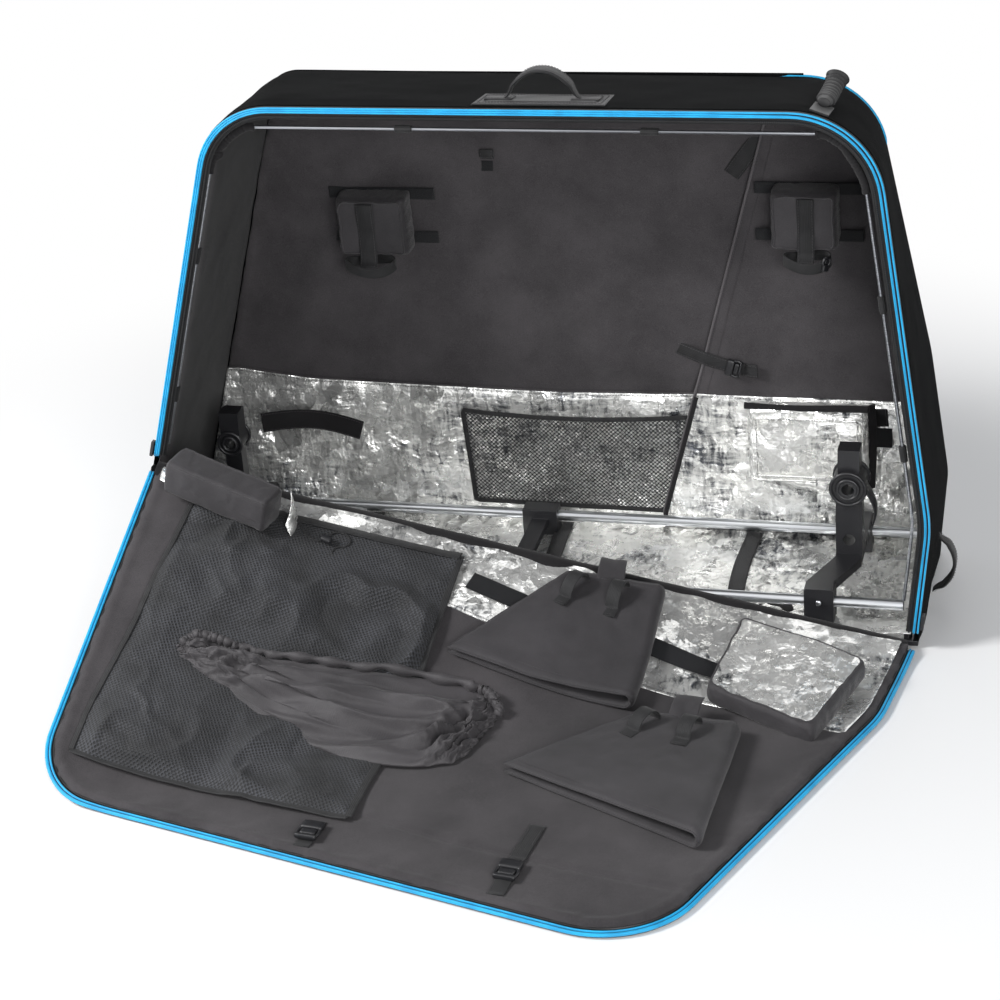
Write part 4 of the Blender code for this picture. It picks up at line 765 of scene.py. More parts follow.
# Open sheet of cloth from a grid, with two lengths as its UV map, thickened and set on its body
def clothPiece(name, points, material, u, v, slot, thickness, *nodes, flip=False, body="bag"):
    piece = thicken(gridMesh(name, points, material, uv=np.stack([u, v], -1), flip=flip), thickness)
    return settle(piece, body, slot, *nodes) if body else piece


# Round or flat section along a path, set on its body
def trim(name, path, profile, guide, material, body, slot, *nodes, scale=None, closed=False):
    return settle(sweep(name, path, profile, guide, material, scale, closed), body, slot, *nodes)


makeShell()
print("shell made")

# Left and right edges of an outline at each height, and a grid of rows in even steps between them
def spanGrid(path, heights, cols, lowest=None):
    left, right = path[:25], path[34:][::-1]
    x0 = np.interp(heights, left[:, 1], left[:, 0])
    x1 = np.interp(heights, right[:, 1], right[:, 0])
    if lowest is not None:
        x0 = np.maximum(x0, lowest(heights))
    t = evenly(cols)
    return x0[:, None] + (x1 - x0)[:, None] * t, np.broadcast_to(heights[:, None], (len(heights), cols))


# Heights from low to high, by a power of the share that is left, so that they lie closer near the round top
def closerAtTop(low, high, count):
    t = evenly(count)
    return low + (high - low) * (1 - (1 - t) ** 1.8)


# Distance from points to the line from a to b, and the share of the way along it
def lineDistance(x, z, a, b):
    a, b = np.asarray(a, float), np.asarray(b, float)
    d = b - a
    t = shareOf((x - a[0]) * d[0] + (z - a[1]) * d[1], d @ d)
    return np.hypot(x - a[0] - d[0] * t, z - a[1] - d[1] * t), t


# Furrow along a sewn line: a groove with a swelling on both sides and small gathers across it
def furrow(x, z, a, b, depth, width, gather=0.0):
    dist, t = lineDistance(x, z, a, b)
    along = t * float(np.hypot(b[0] - a[0], b[1] - a[1]))
    wave = np.sin(along / 0.009 + softNoise(along, along * 0, 0.03, 5) * 3) * gather
    return -depth * hump(dist, width) + (depth * 0.5 + wave) * hump(dist - width * 2.2, width * 1.3)


# The same small closed mesh at many places: rings of points in steps along, side and rise directions
def repeated(name, centre, ahead, side, rise, steps, local, ends, material, smooth):
    rings = [centre + ahead * s + side * a + rise * b for s, a, b in steps]
    points = np.stack(rings, 1).reshape(-1, 3)
    offset = (np.arange(len(centre)) * len(steps))[:, None, None]
    faces = [(offset + np.array(part)[None]).reshape(-1, len(part[0])).tolist() for part in (local, ends)]
    return faceOut(meshPiece(name, points, faces[0] + faces[1], material, smooth))


# Middles of equal parts of a path, and their count from the pitch
def middlesOf(path, pitch):
    step = runLengths(path)
    count = max(int(step[-1] / pitch), 1)
    return step, (np.arange(count) + 0.5) * step[-1] / count


# Row of stitches along a path: each is a short bar that dips at both ends
def stitches(name, path, rise, body, slot, pitch=0.0042, length=0.0030, radius=0.0004, lift=0.0004):
    path = np.asarray(path, float)
    step, middles = middlesOf(path, pitch)
    lean = pointsAt(np.broadcast_to(np.asarray(rise, float), path.shape), step, middles)
    lean /= np.linalg.norm(lean, axis=1)[:, None]
    ahead = pointsAt(path, step, middles + length / 2) - pointsAt(path, step, middles - length / 2)
    ahead /= np.linalg.norm(ahead, axis=1)[:, None]
    side = np.cross(ahead, lean)
    steps = [(s * length, a * radius, lift + h * radius + b * radius)
             for s, h in ((-0.5, -0.6), (-0.3, 0.7), (0.3, 0.7), (0.5, -0.6))
             for a, b in ((1, 0), (0, 1), (-1, 0), (0, -1))]
    local = [(r * 4 + k, r * 4 + (k + 1) % 4, r * 4 + 4 + (k + 1) % 4, r * 4 + 4 + k)
             for r in range(3) for k in range(4)]
    piece = repeated(name, pointsAt(path, step, middles), ahead, side, lean, steps, local,
                     [(3, 2, 1, 0), (12, 13, 14, 15)], thread, True)
    return settle(piece, body, slot) if body else piece


# Small blocks repeated along a path, as the teeth of a zip
def zipTeeth(name, path, rise, body, radius, pitch):
    path = np.asarray(path, float)
    step, middles = middlesOf(path, pitch)
    centre = pointsAt(path, step, middles)
    ahead, side, up = pathFrames(centre, rise)
    a = np.linspace(0, 2 * math.pi, 6, endpoint=False)
    steps = [(s * pitch, math.cos(a[k]) * radius, math.sin(a[k]) * radius * 0.75) for s in (-0.36, 0.36)
             for k in range(6)]
    local = [(k, (k + 1) % 6, 6 + (k + 1) % 6, 6 + k) for k in range(6)]
    piece = repeated(name, centre, ahead, side, up, steps, local,
                     [(5, 4, 3, 2, 1, 0), (6, 7, 8, 9, 10, 11)], coil, False)
    return settle(piece, body, "webbing") if body else piece


# Back wall: outer nylon, and inner lining with its sewn lines and creases (from, to, height)
backLook = {"rows": 164, "cols": 262, "swell": 0.0035, "foot": 0.006, "trim": 0.0005, "border": 0.04,
            "bend": 0.020, "gap": 0.0008, "furrow": (0.0030, 0.006, 0.0012), "creaseWidth": 0.022,
            "leftSeam": ((0.212, 0.700), (0.202, 0.663), (0.174, 0.598), (0.103, 0.331), (0.066, 0.215)),
            "flapSeam": ((0.935, 0.660), (0.839, 0.300), (0.823, 0.246), (0.770, 0.053)),
            "creases": ((0.36, 0.660, 0.22, 0.360, 0.0046), (0.56, 0.600, 0.70, 0.300, 0.0040),
                        (0.70, 0.420, 0.50, 0.272, 0.0050), (0.50, 0.640, 0.76, 0.520, 0.0034))}


# The outside swells by a root of the distance from its edge. The lining adds noise, furrows and creases.
def makeBack():
    b = backLook
    top = backCorners[1][1]
    heights = closerAtTop(b["foot"], top - b["trim"], b["rows"])
    x, z = spanGrid(outline(backCorners, 0.0, 0.004, 0.004), heights, b["cols"] // 2)
    crest = np.interp(x, [backCorners[1][0], backCorners[2][0]], [top, backCorners[2][1]])
    below = np.maximum(crest - z, 0)
    across = np.minimum(x - x[:, :1], x[:, -1:] - x)
    edge = shareOf(np.minimum(z - b["foot"], below), b["border"]) * shareOf(across, b["border"])
    swell = edge ** 0.5 * (b["swell"] + layeredNoise(x, z, 0.16, 11) * 0.0022)
    bent = 0.08 + 0.92 * shareOf(np.minimum(across, below), b["bend"]) ** 0.75
    clothPiece("back_outer", onWall(x, z, -bag["wall"] * bent - swell), shell, x, z, "shell", clothThick,
               "back_panel", flip=True)
    heights = closerAtTop(bag["floorTop"] + 0.001, top - bag["wall"] - b["gap"], b["rows"])
    x, z = spanGrid(outline(backCorners, bag["wall"] + b["gap"], 0.012, 0.012), heights, b["cols"])
    n = 0.0036 + layeredNoise(x, z, 0.17, 31) * 0.0036 + layeredNoise(x, z, 0.045, 35, 2) * 0.0008
    for p, q in zip(b["leftSeam"][:-1], b["leftSeam"][1:]):
        n = n + furrow(x, z, p, q, *b["furrow"])
    for px, pz, qx, qz, high in b["creases"]:
        n = n + high * hump(lineDistance(x, z, (px, pz), (qx, qz))[0], b["creaseWidth"])
    side = shareOf(x - x[:, :1], 0.05) * shareOf(x[:, -1:] - x, 0.05)
    gather = np.sin(z / 0.012 + layeredNoise(x, z, 0.05, 41) * 2.5) * 0.0014 * (1 - side)
    crown = shareOf(heights[-1] - z, 0.05)
    gather = gather + np.sin(x / 0.013 + layeredNoise(x, z, 0.05, 42) * 2.5) * 0.0010 * (1 - crown)
    above = shareOf(z - 0.264, 0.03)
    clothPiece("back_lining", onWall(x, z, clothThick + (n + gather) * above), liner, x, z, "liner", finePly)


makeBack()


# Crumpled foil's stand-off: large and small crumples, calmed in patches
def foilRelief(u, v, height, seed):
    big = crumple(u, v, 0.100, seed, 5) * height
    small = crumple(u, v, 0.034, seed + 7, 5) * height * 0.34
    calm = np.clip(softNoise(u, v, 0.11, seed + 9) * 1.4 + 0.55, 0.15, 1)
    return height * 0.75 + (big + small) * calm


# Foil on the back wall, the floor, the front panel's inside and the right wall
foilLook = {"back": (80, 360), "floor": (90, 310), "front": (60, 310), "right": (900, 96), "rim": 0.012,
            "height": 0.0042, "floorHeight": 0.0036, "frontHeight": 0.0030, "rightHeight": 0.0034,
            "net": (0.452, 0.826, 0.226, 0.02), "hemWidth": 0.0035, "hemThickness": 0.0016,
            "top": ((0.02, 0.262), (0.101, 0.272), (0.22, 0.258), (0.40, 0.254), (0.62, 0.250),
                    (0.84, 0.256), (1.02, 0.262), (1.20, 0.262))}


# Back foil follows its own uneven top edge and lies flatter behind the net pocket
def makeBackFoil():
    s = foilLook
    rows, cols = s["back"]
    t = evenly(rows)
    low = bag["floorTop"] + 0.001
    x, z = spanGrid(outline(backCorners, 0.0120, 0.012, 0.012), low + (0.264 - low) * t, cols)
    top = np.interp(x, [p[0] for p in s["top"]], [p[1] for p in s["top"]])
    z = low + (top - low) * t[:, None]
    left, right, high, soft = s["net"]
    inNet = shareOf(x - left, soft) * shareOf(right - x, soft) * shareOf(high - z, soft)
    held = np.clip((top - z) / s["rim"], 0.15, 1) * (1 - 0.80 * inNet)
    n = foilRelief(x, z, s["height"], 3) * held + 0.0036
    clothPiece("foil_back", onWall(x, z, n), foil, x, z, "foil", foilThick, "back_foil")
    edge = onWall(x[-1], z[-1] - 0.004, 0.0064)
    stitches("foil_back_stitches", edge[::2], towardFront, "bag", "webbing")
    trim("foil_back_hem", onWall(x[-1][::6], z[-1][::6] + 0.001, 0.0052), strip(s["hemWidth"], s["hemThickness"]),
         towardFront, liner, "bag", "liner")


# Floor foil rises in a square curve where it meets the wall. The others are relief on a plane or the shell.
def makeOtherFoils():
    s = foilLook
    rows, cols = s["floor"]
    x, y = np.broadcast_arrays(np.linspace(0.0895, 1.1715, cols)[None],
                               np.linspace(0.0128, wallDepth(bag["floorTop"]) - 0.006, rows)[:, None])
    edge = shareOf(wallDepth(0) - y, 0.03)
    z = bag["floorTop"] + foilRelief(x, y, s["floorHeight"], 13) + (1 - edge) ** 2 * 0.006 + 0.0004
    clothPiece("foil_floor", toFrame(np.stack([x, y, z], -1)), foil, x, y, "foil", foilThick, "floor_pad", flip=True)
    dressed("floor_pad", linerDark, "bag", "liner", 0.0, name="floor_pad_core")
    rows, cols = s["front"]
    x, t = np.linspace(0.075, 1.162, cols)[None], evenly(rows)[:, None]
    topZ = foldHeight(x) - 0.0066
    low = bag["floorTop"] + 0.002
    z = low + (topZ - low) * t
    x = np.broadcast_to(x, z.shape)
    flat = np.clip((topZ - z) / s["rim"], 0.2, 1)
    y = bag["rimDepth"] + clothThick + foilRelief(x, z, s["frontHeight"], 23) * flat
    clothPiece("foil_front", toFrame(np.stack([x, y, z], -1)), foil, x, z, "foil", foilThick, flip=True)
    dressed("front_panel", shell, "bag", "shell", 0.002)
    rows, cols = s["right"]
    surface = shellSurface(bag["wall"] + clothThick, 0.25, bag["floorTop"] + 0.002, rows, cols, 0.006)
    keep = (surface[0][:, 0, 2] < bag["foilTop"]) & (surface[0][:, 0, 0] > 0.6)
    points, normal, along = [part[keep] for part in surface]
    u, v = np.broadcast_arrays(along[:, None], points[..., 1])
    clothPiece("foil_right", toFrame(points - normal * foilRelief(u, v, s["rightHeight"], 33)[..., None]), foil,
               u, v, "foil", foilThick, flip=True)


makeBackFoil()
makeOtherFoils()
print("foils made")

# Wheel pocket: a slack panel from the diagonal seam to the right edge, hemmed along the diagonal
pocketLook = {"stand": 0.0150, "rest": 0.0052, "rows": 160, "cols": 110, "foot": 0.026, "inset": 0.0135,
              "stitchRows": (0.0030, 0.0170), "hemRadius": 0.0020}
pocketPath = outline(backCorners, pocketLook["inset"], 0.012, 0.012)
pocketSide = pocketPath[34:]
pocketTop = backCorners[1][1] - pocketLook["inset"]
flapPoints = sorted(backLook["flapSeam"], key=lambda p: p[1])
flapSlope = (flapPoints[-1][0] - flapPoints[-2][0]) / (flapPoints[-1][1] - flapPoints[-2][1])


# The diagonal's x at a height: along its points, and past the last one at the last slope
def flapEdge(z):
    high = flapPoints[-1][0] + (z - flapPoints[-1][1]) * flapSlope
    return np.where(z > flapPoints[-1][1], high, np.interp(z, [p[1] for p in flapPoints], [p[0] for p in flapPoints]))


# Pocket's slack: its stand-off from the wall grows as a root of the distances from its right side, top and foot
def pocketLift(x, z):
    right = np.interp(z, pocketSide[::-1, 1], pocketSide[::-1, 0])
    far = shareOf(right - x, 0.05)
    low, high = shareOf(z - pocketLook["foot"], 0.03), shareOf(pocketTop - z, 0.05)
    reach = shareOf(x - flapEdge(z), 0.03)
    rest = pocketLook["rest"]
    n = rest + (pocketLook["stand"] - rest) * np.sqrt(far * low * high) + layeredNoise(x, z, 0.15, 51) * 0.0022
    n = n - (1 - reach) * 0.0020 + np.sin(z / 0.016 + layeredNoise(x, z, 0.06, 54) * 3) * 0.0010 * (1 - far)
    return np.where(x < flapEdge(z) - 0.002, 0.0016, n)


# The pocket's cloth from its diagonal to its right side, with two rows of stitches and a hem on the diagonal
def makeWheelPocket():
    s = pocketLook
    heights = closerAtTop(s["foot"], pocketTop, s["rows"])
    x, z = spanGrid(pocketPath, heights, s["cols"], flapEdge)
    x[:, 0] = flapEdge(heights)
    n = pocketLift(x, z)
    piece = clothPiece("wheel_pocket_cloth", onWall(x, z, n), liner, x, z, "liner", clothThick, "wheel_pocket")
    for offset in s["stitchRows"]:
        route = onWall(x[:, 0] + offset, heights, n[:, 0] + 0.0010 + offset * 0.1)
        stitches(f"wheel_pocket_stitches_{int(offset * 10000)}", route, towardFront, "bag", "webbing")
    hem = onWall(x[:, 0], heights, n[:, 0] + 0.0008)
    # The hem is in the lighter lining copy: a painted highlight on its roll
    trim("wheel_pocket_hem", hem[::4], ring(s["hemRadius"], 8), towardFront, litLiner, "bag", "liner")


makeWheelPocket()

# Net pocket between the foil and the opening: a bound top edge and a net that sags from it
netLook = {"corners": ((0.464, 0.215), (0.816, 0.217), (0.774, 0.053), (0.472, 0.056)), "stand": 0.0160,
           "rest": 0.0085, "sag": 0.006, "grid": (60, 120), "bindingWidth": 0.0075, "bindingThickness": 0.0022}


# Grid over four corners: shares s across and t down, mixed along both
def quadGrid(corners, rows, cols):
    a, b, c, d = [np.array(p, float) for p in corners]
    s = evenly(cols)[None, :, None]
    t = evenly(rows)[:, None, None]
    flat = (a * (1 - s) + b * s) * (1 - t) + (d * (1 - s) + c * s) * t
    s, t = [np.broadcast_to(part[..., 0], flat.shape[:2]) for part in (s, t)]
    return flat[..., 0], flat[..., 1], s, t


# The net bulges by a root of a half sine across and less towards its foot
def makeNetPocket():
    k = netLook
    x, z, s, t = quadGrid(k["corners"], *k["grid"])
    bulge = np.sin(math.pi * s) ** 0.6 * (1 - t ** 3) ** 0.7
    n = k["rest"] + (k["stand"] - k["rest"]) * bulge + layeredNoise(x, z, 0.09, 61) * 0.0012
    z = z - np.sin(math.pi * s) * (1 - t) * k["sag"]
    piece = gridMesh("net_pocket_cloth", onWall(x, z, n), pocketNet, uv=np.stack([x, z], -1), flip=True)
    settle(piece, "bag", "net", "mesh_pocket")
    rim = np.concatenate([onWall(x[:, 0], z[:, 0], n[:, 0])[::-1], onWall(x[0], z[0], n[0])[1:],
                          onWall(x[:, -1], z[:, -1], n[:, -1])[1:], onWall(x[-1], z[-1], n[-1])[::-1][1:-1]])
    trim("net_pocket_binding", rim[::3], strip(k["bindingWidth"], k["bindingThickness"]), towardFront, webbing,
         "bag", "webbing", closed=True)


makeNetPocket()
print("pockets made")

# Rim: three blue strands round the opening, the outer two parting at the right, and a coil inside them
rimLook = {"strand": 0.0014, "strandFlat": 1.35, "depth": 0.0044, "coilPitch": 0.0026, "coil": 0.0016,
           "low": 0.252, "high": 0.030, "count": 420, "coilCount": 900, "part": (0.56, 0.08),
           "strands": (("rim_strand_outer", 0.0022, 0.0), ("rim_strand_middle", 0.0050, 0.0022),
                       ("rim_strand_inner", 0.0078, 0.0)),
           "tapes": (("rim_tape", 0.0070, 0.0088, 0.0128, 0.0062), ("rim_coil_tape", 0.0140, 0.0085, 0.0100, 0.0016)),
           "backRadius": 0.0022, "backSunk": 0.0045, "backFrom": (0.955, 0.640), "backReach": 0.02}


# One outline, evenly spaced between the rim's two ends
def evenOutline(corners, inset, count):
    path = outline(corners, inset, rimLook["low"], rimLook["high"])
    return evenPair(path, path, count)[0]


# The front outline moved in by an inset, at a depth from the front
def rimPath(inset, depth, count=rimLook["count"]):
    path = evenOutline(frontCorners, inset, count)
    return toFrame(np.stack([path[:, 0], np.full(count, depth), path[:, 1]], -1))


# Strands and tapes follow the rim. The back's strand lies on the outline where it shows, else sunk inside it.
def makeRim():
    s = rimLook
    start, reach = s["part"]
    part = shareOf(evenly(s["count"]) - start, reach)[:, None]
    for name, inset, shift in s["strands"]:
        route = rimPath(inset, s["depth"]) * (1 - part) + rimPath(inset + shift, s["depth"]) * part
        trim(name, route, ring(s["strand"], 10, s["strandFlat"]), towardFront, blueTape, "bag", "blue",
             *(["rim_piping"] if name.endswith("outer") else []))
    for name, inset, depth, width, thickness in s["tapes"]:
        trim(name, rimPath(inset, depth), strip(width, thickness), towardFront, zipDark, "bag", "webbing")
    zipTeeth("rim_coil", rimPath(0.0146, 0.0052, s["coilCount"]), towardFront, "bag", s["coil"], s["coilPitch"])
    path = evenOutline(backCorners, 0.0, s["count"])
    inner = evenOutline(backCorners, s["backSunk"], s["count"])
    shown = np.prod(shareOf(path - s["backFrom"], s["backReach"]), axis=1)[:, None]
    flat = inner * (1 - shown) + path * shown
    depth = wallDepth(flat[:, 1]) + bag["wall"] * 0.2 + 0.001 * (1 - shown[:, 0])
    route = toFrame(np.stack([flat[:, 0], depth, flat[:, 1]], -1))
    trim("back_piping_strand", route, ring(s["backRadius"], 10), towardFront, blueTape, "bag", "blue", "back_piping")


makeRim()

# Rods round the opening, their cloth keepers and the gathered sleeves at the corners
rodLook = {"keepers": (("rod_top", 0.4925, 0.0), ("rod_top", 0.828, 0.0), ("rod_left", 0.0, 0.562),
                       ("rod_left", 0.0, 0.347), ("rod_right", 0.0, 0.517), ("rod_right", 0.0, 0.300)),
           "keeperLength": 0.024, "keeperRadius": 0.0052, "sleeve": 0.0056, "depth": 0.020, "topDrop": 0.034,
           "sleeveSteps": 14, "sleevePoints": 150}


# Rods as they are, and a short ribbed keeper at each of their places, turned along the rod there
def makeRods():
    s = rodLook
    for node in ("rod_top", "rod_left", "rod_right"):
        dressed(node, rodAlloy, "bag", "steel", 0.0)
    paths = {"rod_left": outline(frontCorners, 0.016, 0.10, 0.10)[:12],
             "rod_right": outline(frontCorners, 0.027, 0.05, 0.05)[34:][::-1]}
    t = np.linspace(-0.5, 0.5, 15)
    for i, (node, x, z) in enumerate(s["keepers"]):
        if node == "rod_top":
            centre, d = np.array([x, bag["height"] - s["topDrop"]]), np.array([1.0, 0.0])
        else:
            path = paths[node]
            k = int(np.searchsorted(path[:, 1], z))
            centre = np.array([np.interp(z, path[:, 1], path[:, 0]), z])
            d = unit(path[min(k, len(path) - 1)] - path[max(k - 1, 0)])
        route = centre + d * (t * s["keeperLength"])[:, None]
        route = toFrame(np.stack([route[:, 0], np.full(15, s["depth"]), route[:, 1]], -1))
        size = 1 + 0.10 * np.sin(t * 40 + i) - 0.12 * (np.abs(t) > 0.44)
        profile = ring(s["keeperRadius"], 16)
        trim(f"rod_keeper_{i}", route, profile, towardFront, webbing, "bag", "webbing", scale=size)


# A sleeve's middle line is the mean of its solid's points in each step of angle, and its radius gathers in waves
def makeSleeve(node):
    s = rodLook
    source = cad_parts[node]
    points = np.array([source.matrix_world @ v.co for v in source.data.vertices]) - toFrame([0.0, 0.0, 0.0])
    flat = points[:, [0, 2]]
    centre = np.array([flat[:, 0].max(), flat[:, 1].min()]) if node.endswith("left") else flat.min(axis=0)
    angle = np.arctan2(flat[:, 1] - centre[1], flat[:, 0] - centre[0])
    order = np.linspace(angle.min(), angle.max(), s["sleeveSteps"])
    within = [(angle >= low - 1e-3) & (angle <= high + 1e-3) for low, high in zip(order[:-1], order[1:])]
    middle = np.array([flat[band].mean(axis=0) for band in within if band.any()])
    path = smoothCurve(np.c_[middle[:, 0], np.full(len(middle), s["depth"]), middle[:, 1]], s["sleevePoints"])
    t = np.linspace(0, 1, len(path))
    size = 1 + 0.13 * np.abs(np.sin(t * 46 + softNoise(t, t * 0, 0.05, 8) * 2)) + 0.05 * softNoise(t, t, 0.03, 4)
    trim(node + "_cloth", toFrame(path), ring(s["sleeve"] * 0.95, 20), towardFront, linerDark, "bag", "liner", node,
         scale=size)


makeRods()
makeSleeve("corner_sleeve_left")
makeSleeve("corner_sleeve_right")

# Hard pieces that keep their own shape: node, material, body, slot, edge
hardPieces = (("rail_front", alloy, "bag", "aluminium", 0.0012), ("rail_rear", alloy, "bag", "aluminium", 0.0012),
              ("stand_right_bush", plastic, "right_stand", "steel", 0.0010),
              ("stand_left", plastic, "left_stand", "plastic", 0.0014),
              ("centre_bridge", plastic, "bag", "plastic", 0.0014),
              ("wheel_housing", plastic, "bag", "plastic", 0.0025),
              ("wheel_front", rubber, "front_wheel", "rubber", 0.0010),
              ("wheel_rear", rubber, "rear_wheel", "rubber", 0.0010),
              ("wheel_axle", alloy, "bag", "steel", 0.0006), ("skid_frame", plastic, "bag", "plastic", 0.0010),
              ("base_board", plastic, "bag", "plastic", 0.0012),
              ("zip_slider_left", plastic, "left_slider", "steel", 0.0010),
              ("zip_slider_right", plastic, "right_slider", "steel", 0.0010))
standLook = {"cuts": (0.128, 0.100, 0.072, 0.053), "bend": 0.030, "bendReach": 0.075, "depth": 0.150,
             "flange": 0.0026,
             "stands": (("right", 1.071, 0.188, 0.022, 0.024), ("left", 0.140, 0.214, 0.018, 0.017)),
             "screw": (1.041, 0.0245, 0.058), "screwSteps": (0.0, 0.0012, 0.0022, 0.0026)}


# The right stand's near foot is cut across and shifted to the left in proportion to the distance in front of
# its first cut
def bendFoot():
    s = standLook
    foot = dressed("stand_right", plastic, "right_stand", "plastic", 0.0022, segments=3)

    def cut(work):
        for depth in s["cuts"]:
            bmesh.ops.bisect_plane(work, geom=work.verts[:] + work.edges[:] + work.faces[:],
                                   plane_co=toFrame([0.0, depth, 0.0]), plane_no=(0, 1, 0), dist=1e-6)
    edited(foot.data, cut)
    spots = np.empty(len(foot.data.vertices) * 3)
    foot.data.vertices.foreach_get("co", spots)
    spots = spots.reshape(-1, 3)
    depth = spots[:, 1] - toFrame([0.0, 0.0, 0.0])[1]
    spots[:, 0] -= s["bend"] * shareOf(s["cuts"][0] - depth, s["bendReach"])
    foot.data.vertices.foreach_set("co", spots.ravel())
    foot.data.update()


# Rings round the stands' bores, and the right stand's lever and screw
def makeHardware():
    s = standLook
    for piece in hardPieces:
        dressed(*piece)
    angle = np.linspace(0, 2 * math.pi, 64, endpoint=False)
    for stand, x, z, half, bore in s["stands"]:
        for tag, y, r in (("near", -half - 0.0012, bore + 0.0008), ("far", half + 0.0012, bore + 0.0008),
                          ("lip", -half - 0.0030, bore * 0.62)):
            loop = np.stack([x + np.cos(angle) * r, s["depth"] + y + angle * 0, z + np.sin(angle) * r], -1)
            trim(f"{stand}_flange_{tag}", toFrame(loop), ring(s["flange"], 10), (0, 1, 0), plastic,
                 stand + "_stand", "plastic", closed=True)
    t = evenly(40)
    lever = np.stack([1.092 + 0.016 * np.sin(t * 2.4), s["depth"] + t * 0, 0.186 - 0.066 * t], -1)
    trim("right_lever", toFrame(lever), strip(0.026, 0.0050), (1, 0, 0), plastic, "right_stand", "plastic",
         scale=1 - 0.7 * t ** 2)
    screw = toFrame(np.array([s["screw"]]) - np.array([[0.0, k, 0.0] for k in s["screwSteps"]]))
    trim("right_screw", screw, ring(0.0042, 20), (0, 0, 1), alloy, "right_stand", "steel", scale=[1, 1, 0.8, 0.3])


bendFoot()
makeHardware()
print("rim, rods and hardware made")


# Door: lining, skin, foil, edges and seams, written in the closed bag's x and height and a stand-off
doorLook = {"rows": 196, "cols": 240, "edgeInset": 0.0118, "setback": 0.0051, "skinInset": 0.004,
            "skinGrid": (150, 200), "skinDepth": 0.0086,
            "strands": (("door_strand_outer", 0.0026, -0.0046, 0.0024),
                        ("door_strand_inner", 0.0072, -0.0030, 0.0015)),
            "pocketSeam": ((0.655, 0.672), (0.80, 0.680), (0.96, 0.676), (1.112, 0.664))}
facetDown = lowerTurn @ unit([-foldAcross[2], 0.0, foldAcross[0]])
facetDown = facetDown * -np.sign(facetDown[2])


# A piece that lies over the crease, already bent there with the two facets, is kept in world space without a body and
# hides the nodes that it stands for; the slot is not used
def overCrease(piece, slot, *nodes):
    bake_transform(piece)
    if nodes:
        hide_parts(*nodes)
    return piece


# Shortest distance from points to a path
def pathDistance(x, z, path):
    best = np.full(np.shape(x), 9.0)
    for a, b in zip(path[:-1], path[1:]):
        if np.hypot(*(b - a)) > 1e-7:
            best = np.minimum(best, lineDistance(x, z, a, b)[0])
    return best


# The fold line's x at a height above the setback
def foldX(z):
    return foldRight[0] - (z - doorLook["setback"] - foldRight[2]) * (foldRight[0] - foldLeft[0]) / \
        (foldLeft[2] - foldRight[2])


# Rows from the fold's right end to the top by a power of the share left, cut off at the fold line
def doorGrid(inset, rows, cols, top, power=1.3):
    low = foldRight[2] + doorLook["setback"] + (inset + 0.001) * 0.2065
    t = evenly(rows)
    heights = low + (top - low) * (1 - (1 - t) ** power)
    x, z = spanGrid(outline(frontCorners, inset, 0.004, 0.004), heights, cols, foldX)
    return np.minimum(x, x[:, -1:]), z


# Stand-off of the door's lining: a slight swell, gathers along the rim and a furrow at each seam
def liningHeight(x, z):
    dist = pathDistance(x, z, outline(frontCorners, doorLook["edgeInset"], 0.02, 0.02)[::3])
    rise = 0.0006 + layeredNoise(x, z, 0.17, 71) * 0.0007 + layeredNoise(x, z, 0.05, 74, 2) * 0.0003
    gather = np.sin((x + z) / 0.0075 + layeredNoise(x, z, 0.05, 77) * 3) * 0.0010 * hump(dist, 0.018, 1)
    roll = 0.0022 * hump(dist - 0.010, 0.007) - 0.0040 * hump(dist, 0.0045)
    for a, b in zip(doorLook["pocketSeam"][:-1], doorLook["pocketSeam"][1:]):
        rise = rise + furrow(x, z, a, b, 0.0010, 0.005, 0.0004)
    return rise + gather + roll


# The front outline moved in by an inset, from one end of the fold to the other, laid on the floor
def doorRim(inset, n, count=560):
    path = outline(frontCorners, inset, foldLeft[2] + 0.010, foldRight[2] + 0.011)
    path = evenPair(path, path, count)[0]
    return onDoor(path[:, 0], path[:, 1], n)


# Cloth of the door's lining and skin, then the strands, the tape, the teeth and the pocket's seam
def makeDoor():
    d = doorLook
    x, z = doorGrid(d["edgeInset"], d["rows"], d["cols"], frontCorners[1][1] - d["edgeInset"])
    piece = clothPiece("door_lining", onDoor(x, z, liningHeight(x, z)), liner, x, z, "liner", clothThick, flip=True,
                       body=None)
    overCrease(piece, "liner", "door_lower", "door_upper")
    inset = d["skinInset"]
    x, z = doorGrid(inset, *d["skinGrid"], frontCorners[1][1] - inset)
    edge = shareOf(pathDistance(x, z, outline(frontCorners, inset, 0.02, 0.02)[::3]), 0.01)
    points = onDoor(x, z, -d["skinDepth"] - 0.0008 * edge)
    overCrease(clothPiece("door_skin", points, shell, x, z, "shell", finePly, body=None), "shell")
    for name, inset, n, radius in d["strands"]:
        overCrease(sweep(name, doorRim(inset, n), ring(radius, 10, 1.1), upZ, blueTape), "blue",
                   *(["door_lower_piping", "door_upper_piping"] if name.endswith("outer") else []))
    overCrease(sweep("door_tape", doorRim(0.0060, -0.0062), strip(0.0100, 0.0052), upZ, zipDark), "webbing")
    teeth = zipTeeth("door_coil", doorRim(0.0122, -0.0022, 900), upZ, None, 0.0017, rimLook["coilPitch"])
    overCrease(teeth, "webbing")
    seam = smoothCurve([(a, b, 0) for a, b in d["pocketSeam"]], 160)
    for tag, offset in (("far", -0.0030), ("near", 0.0030)):
        x, z = seam[:, 0], seam[:, 1] + offset
        route = onDoor(x, z, liningHeight(x, z) + 0.0004)
        overCrease(stitches(f"door_pocket_stitches_{tag}", route, upZ, None, "webbing"), "webbing")


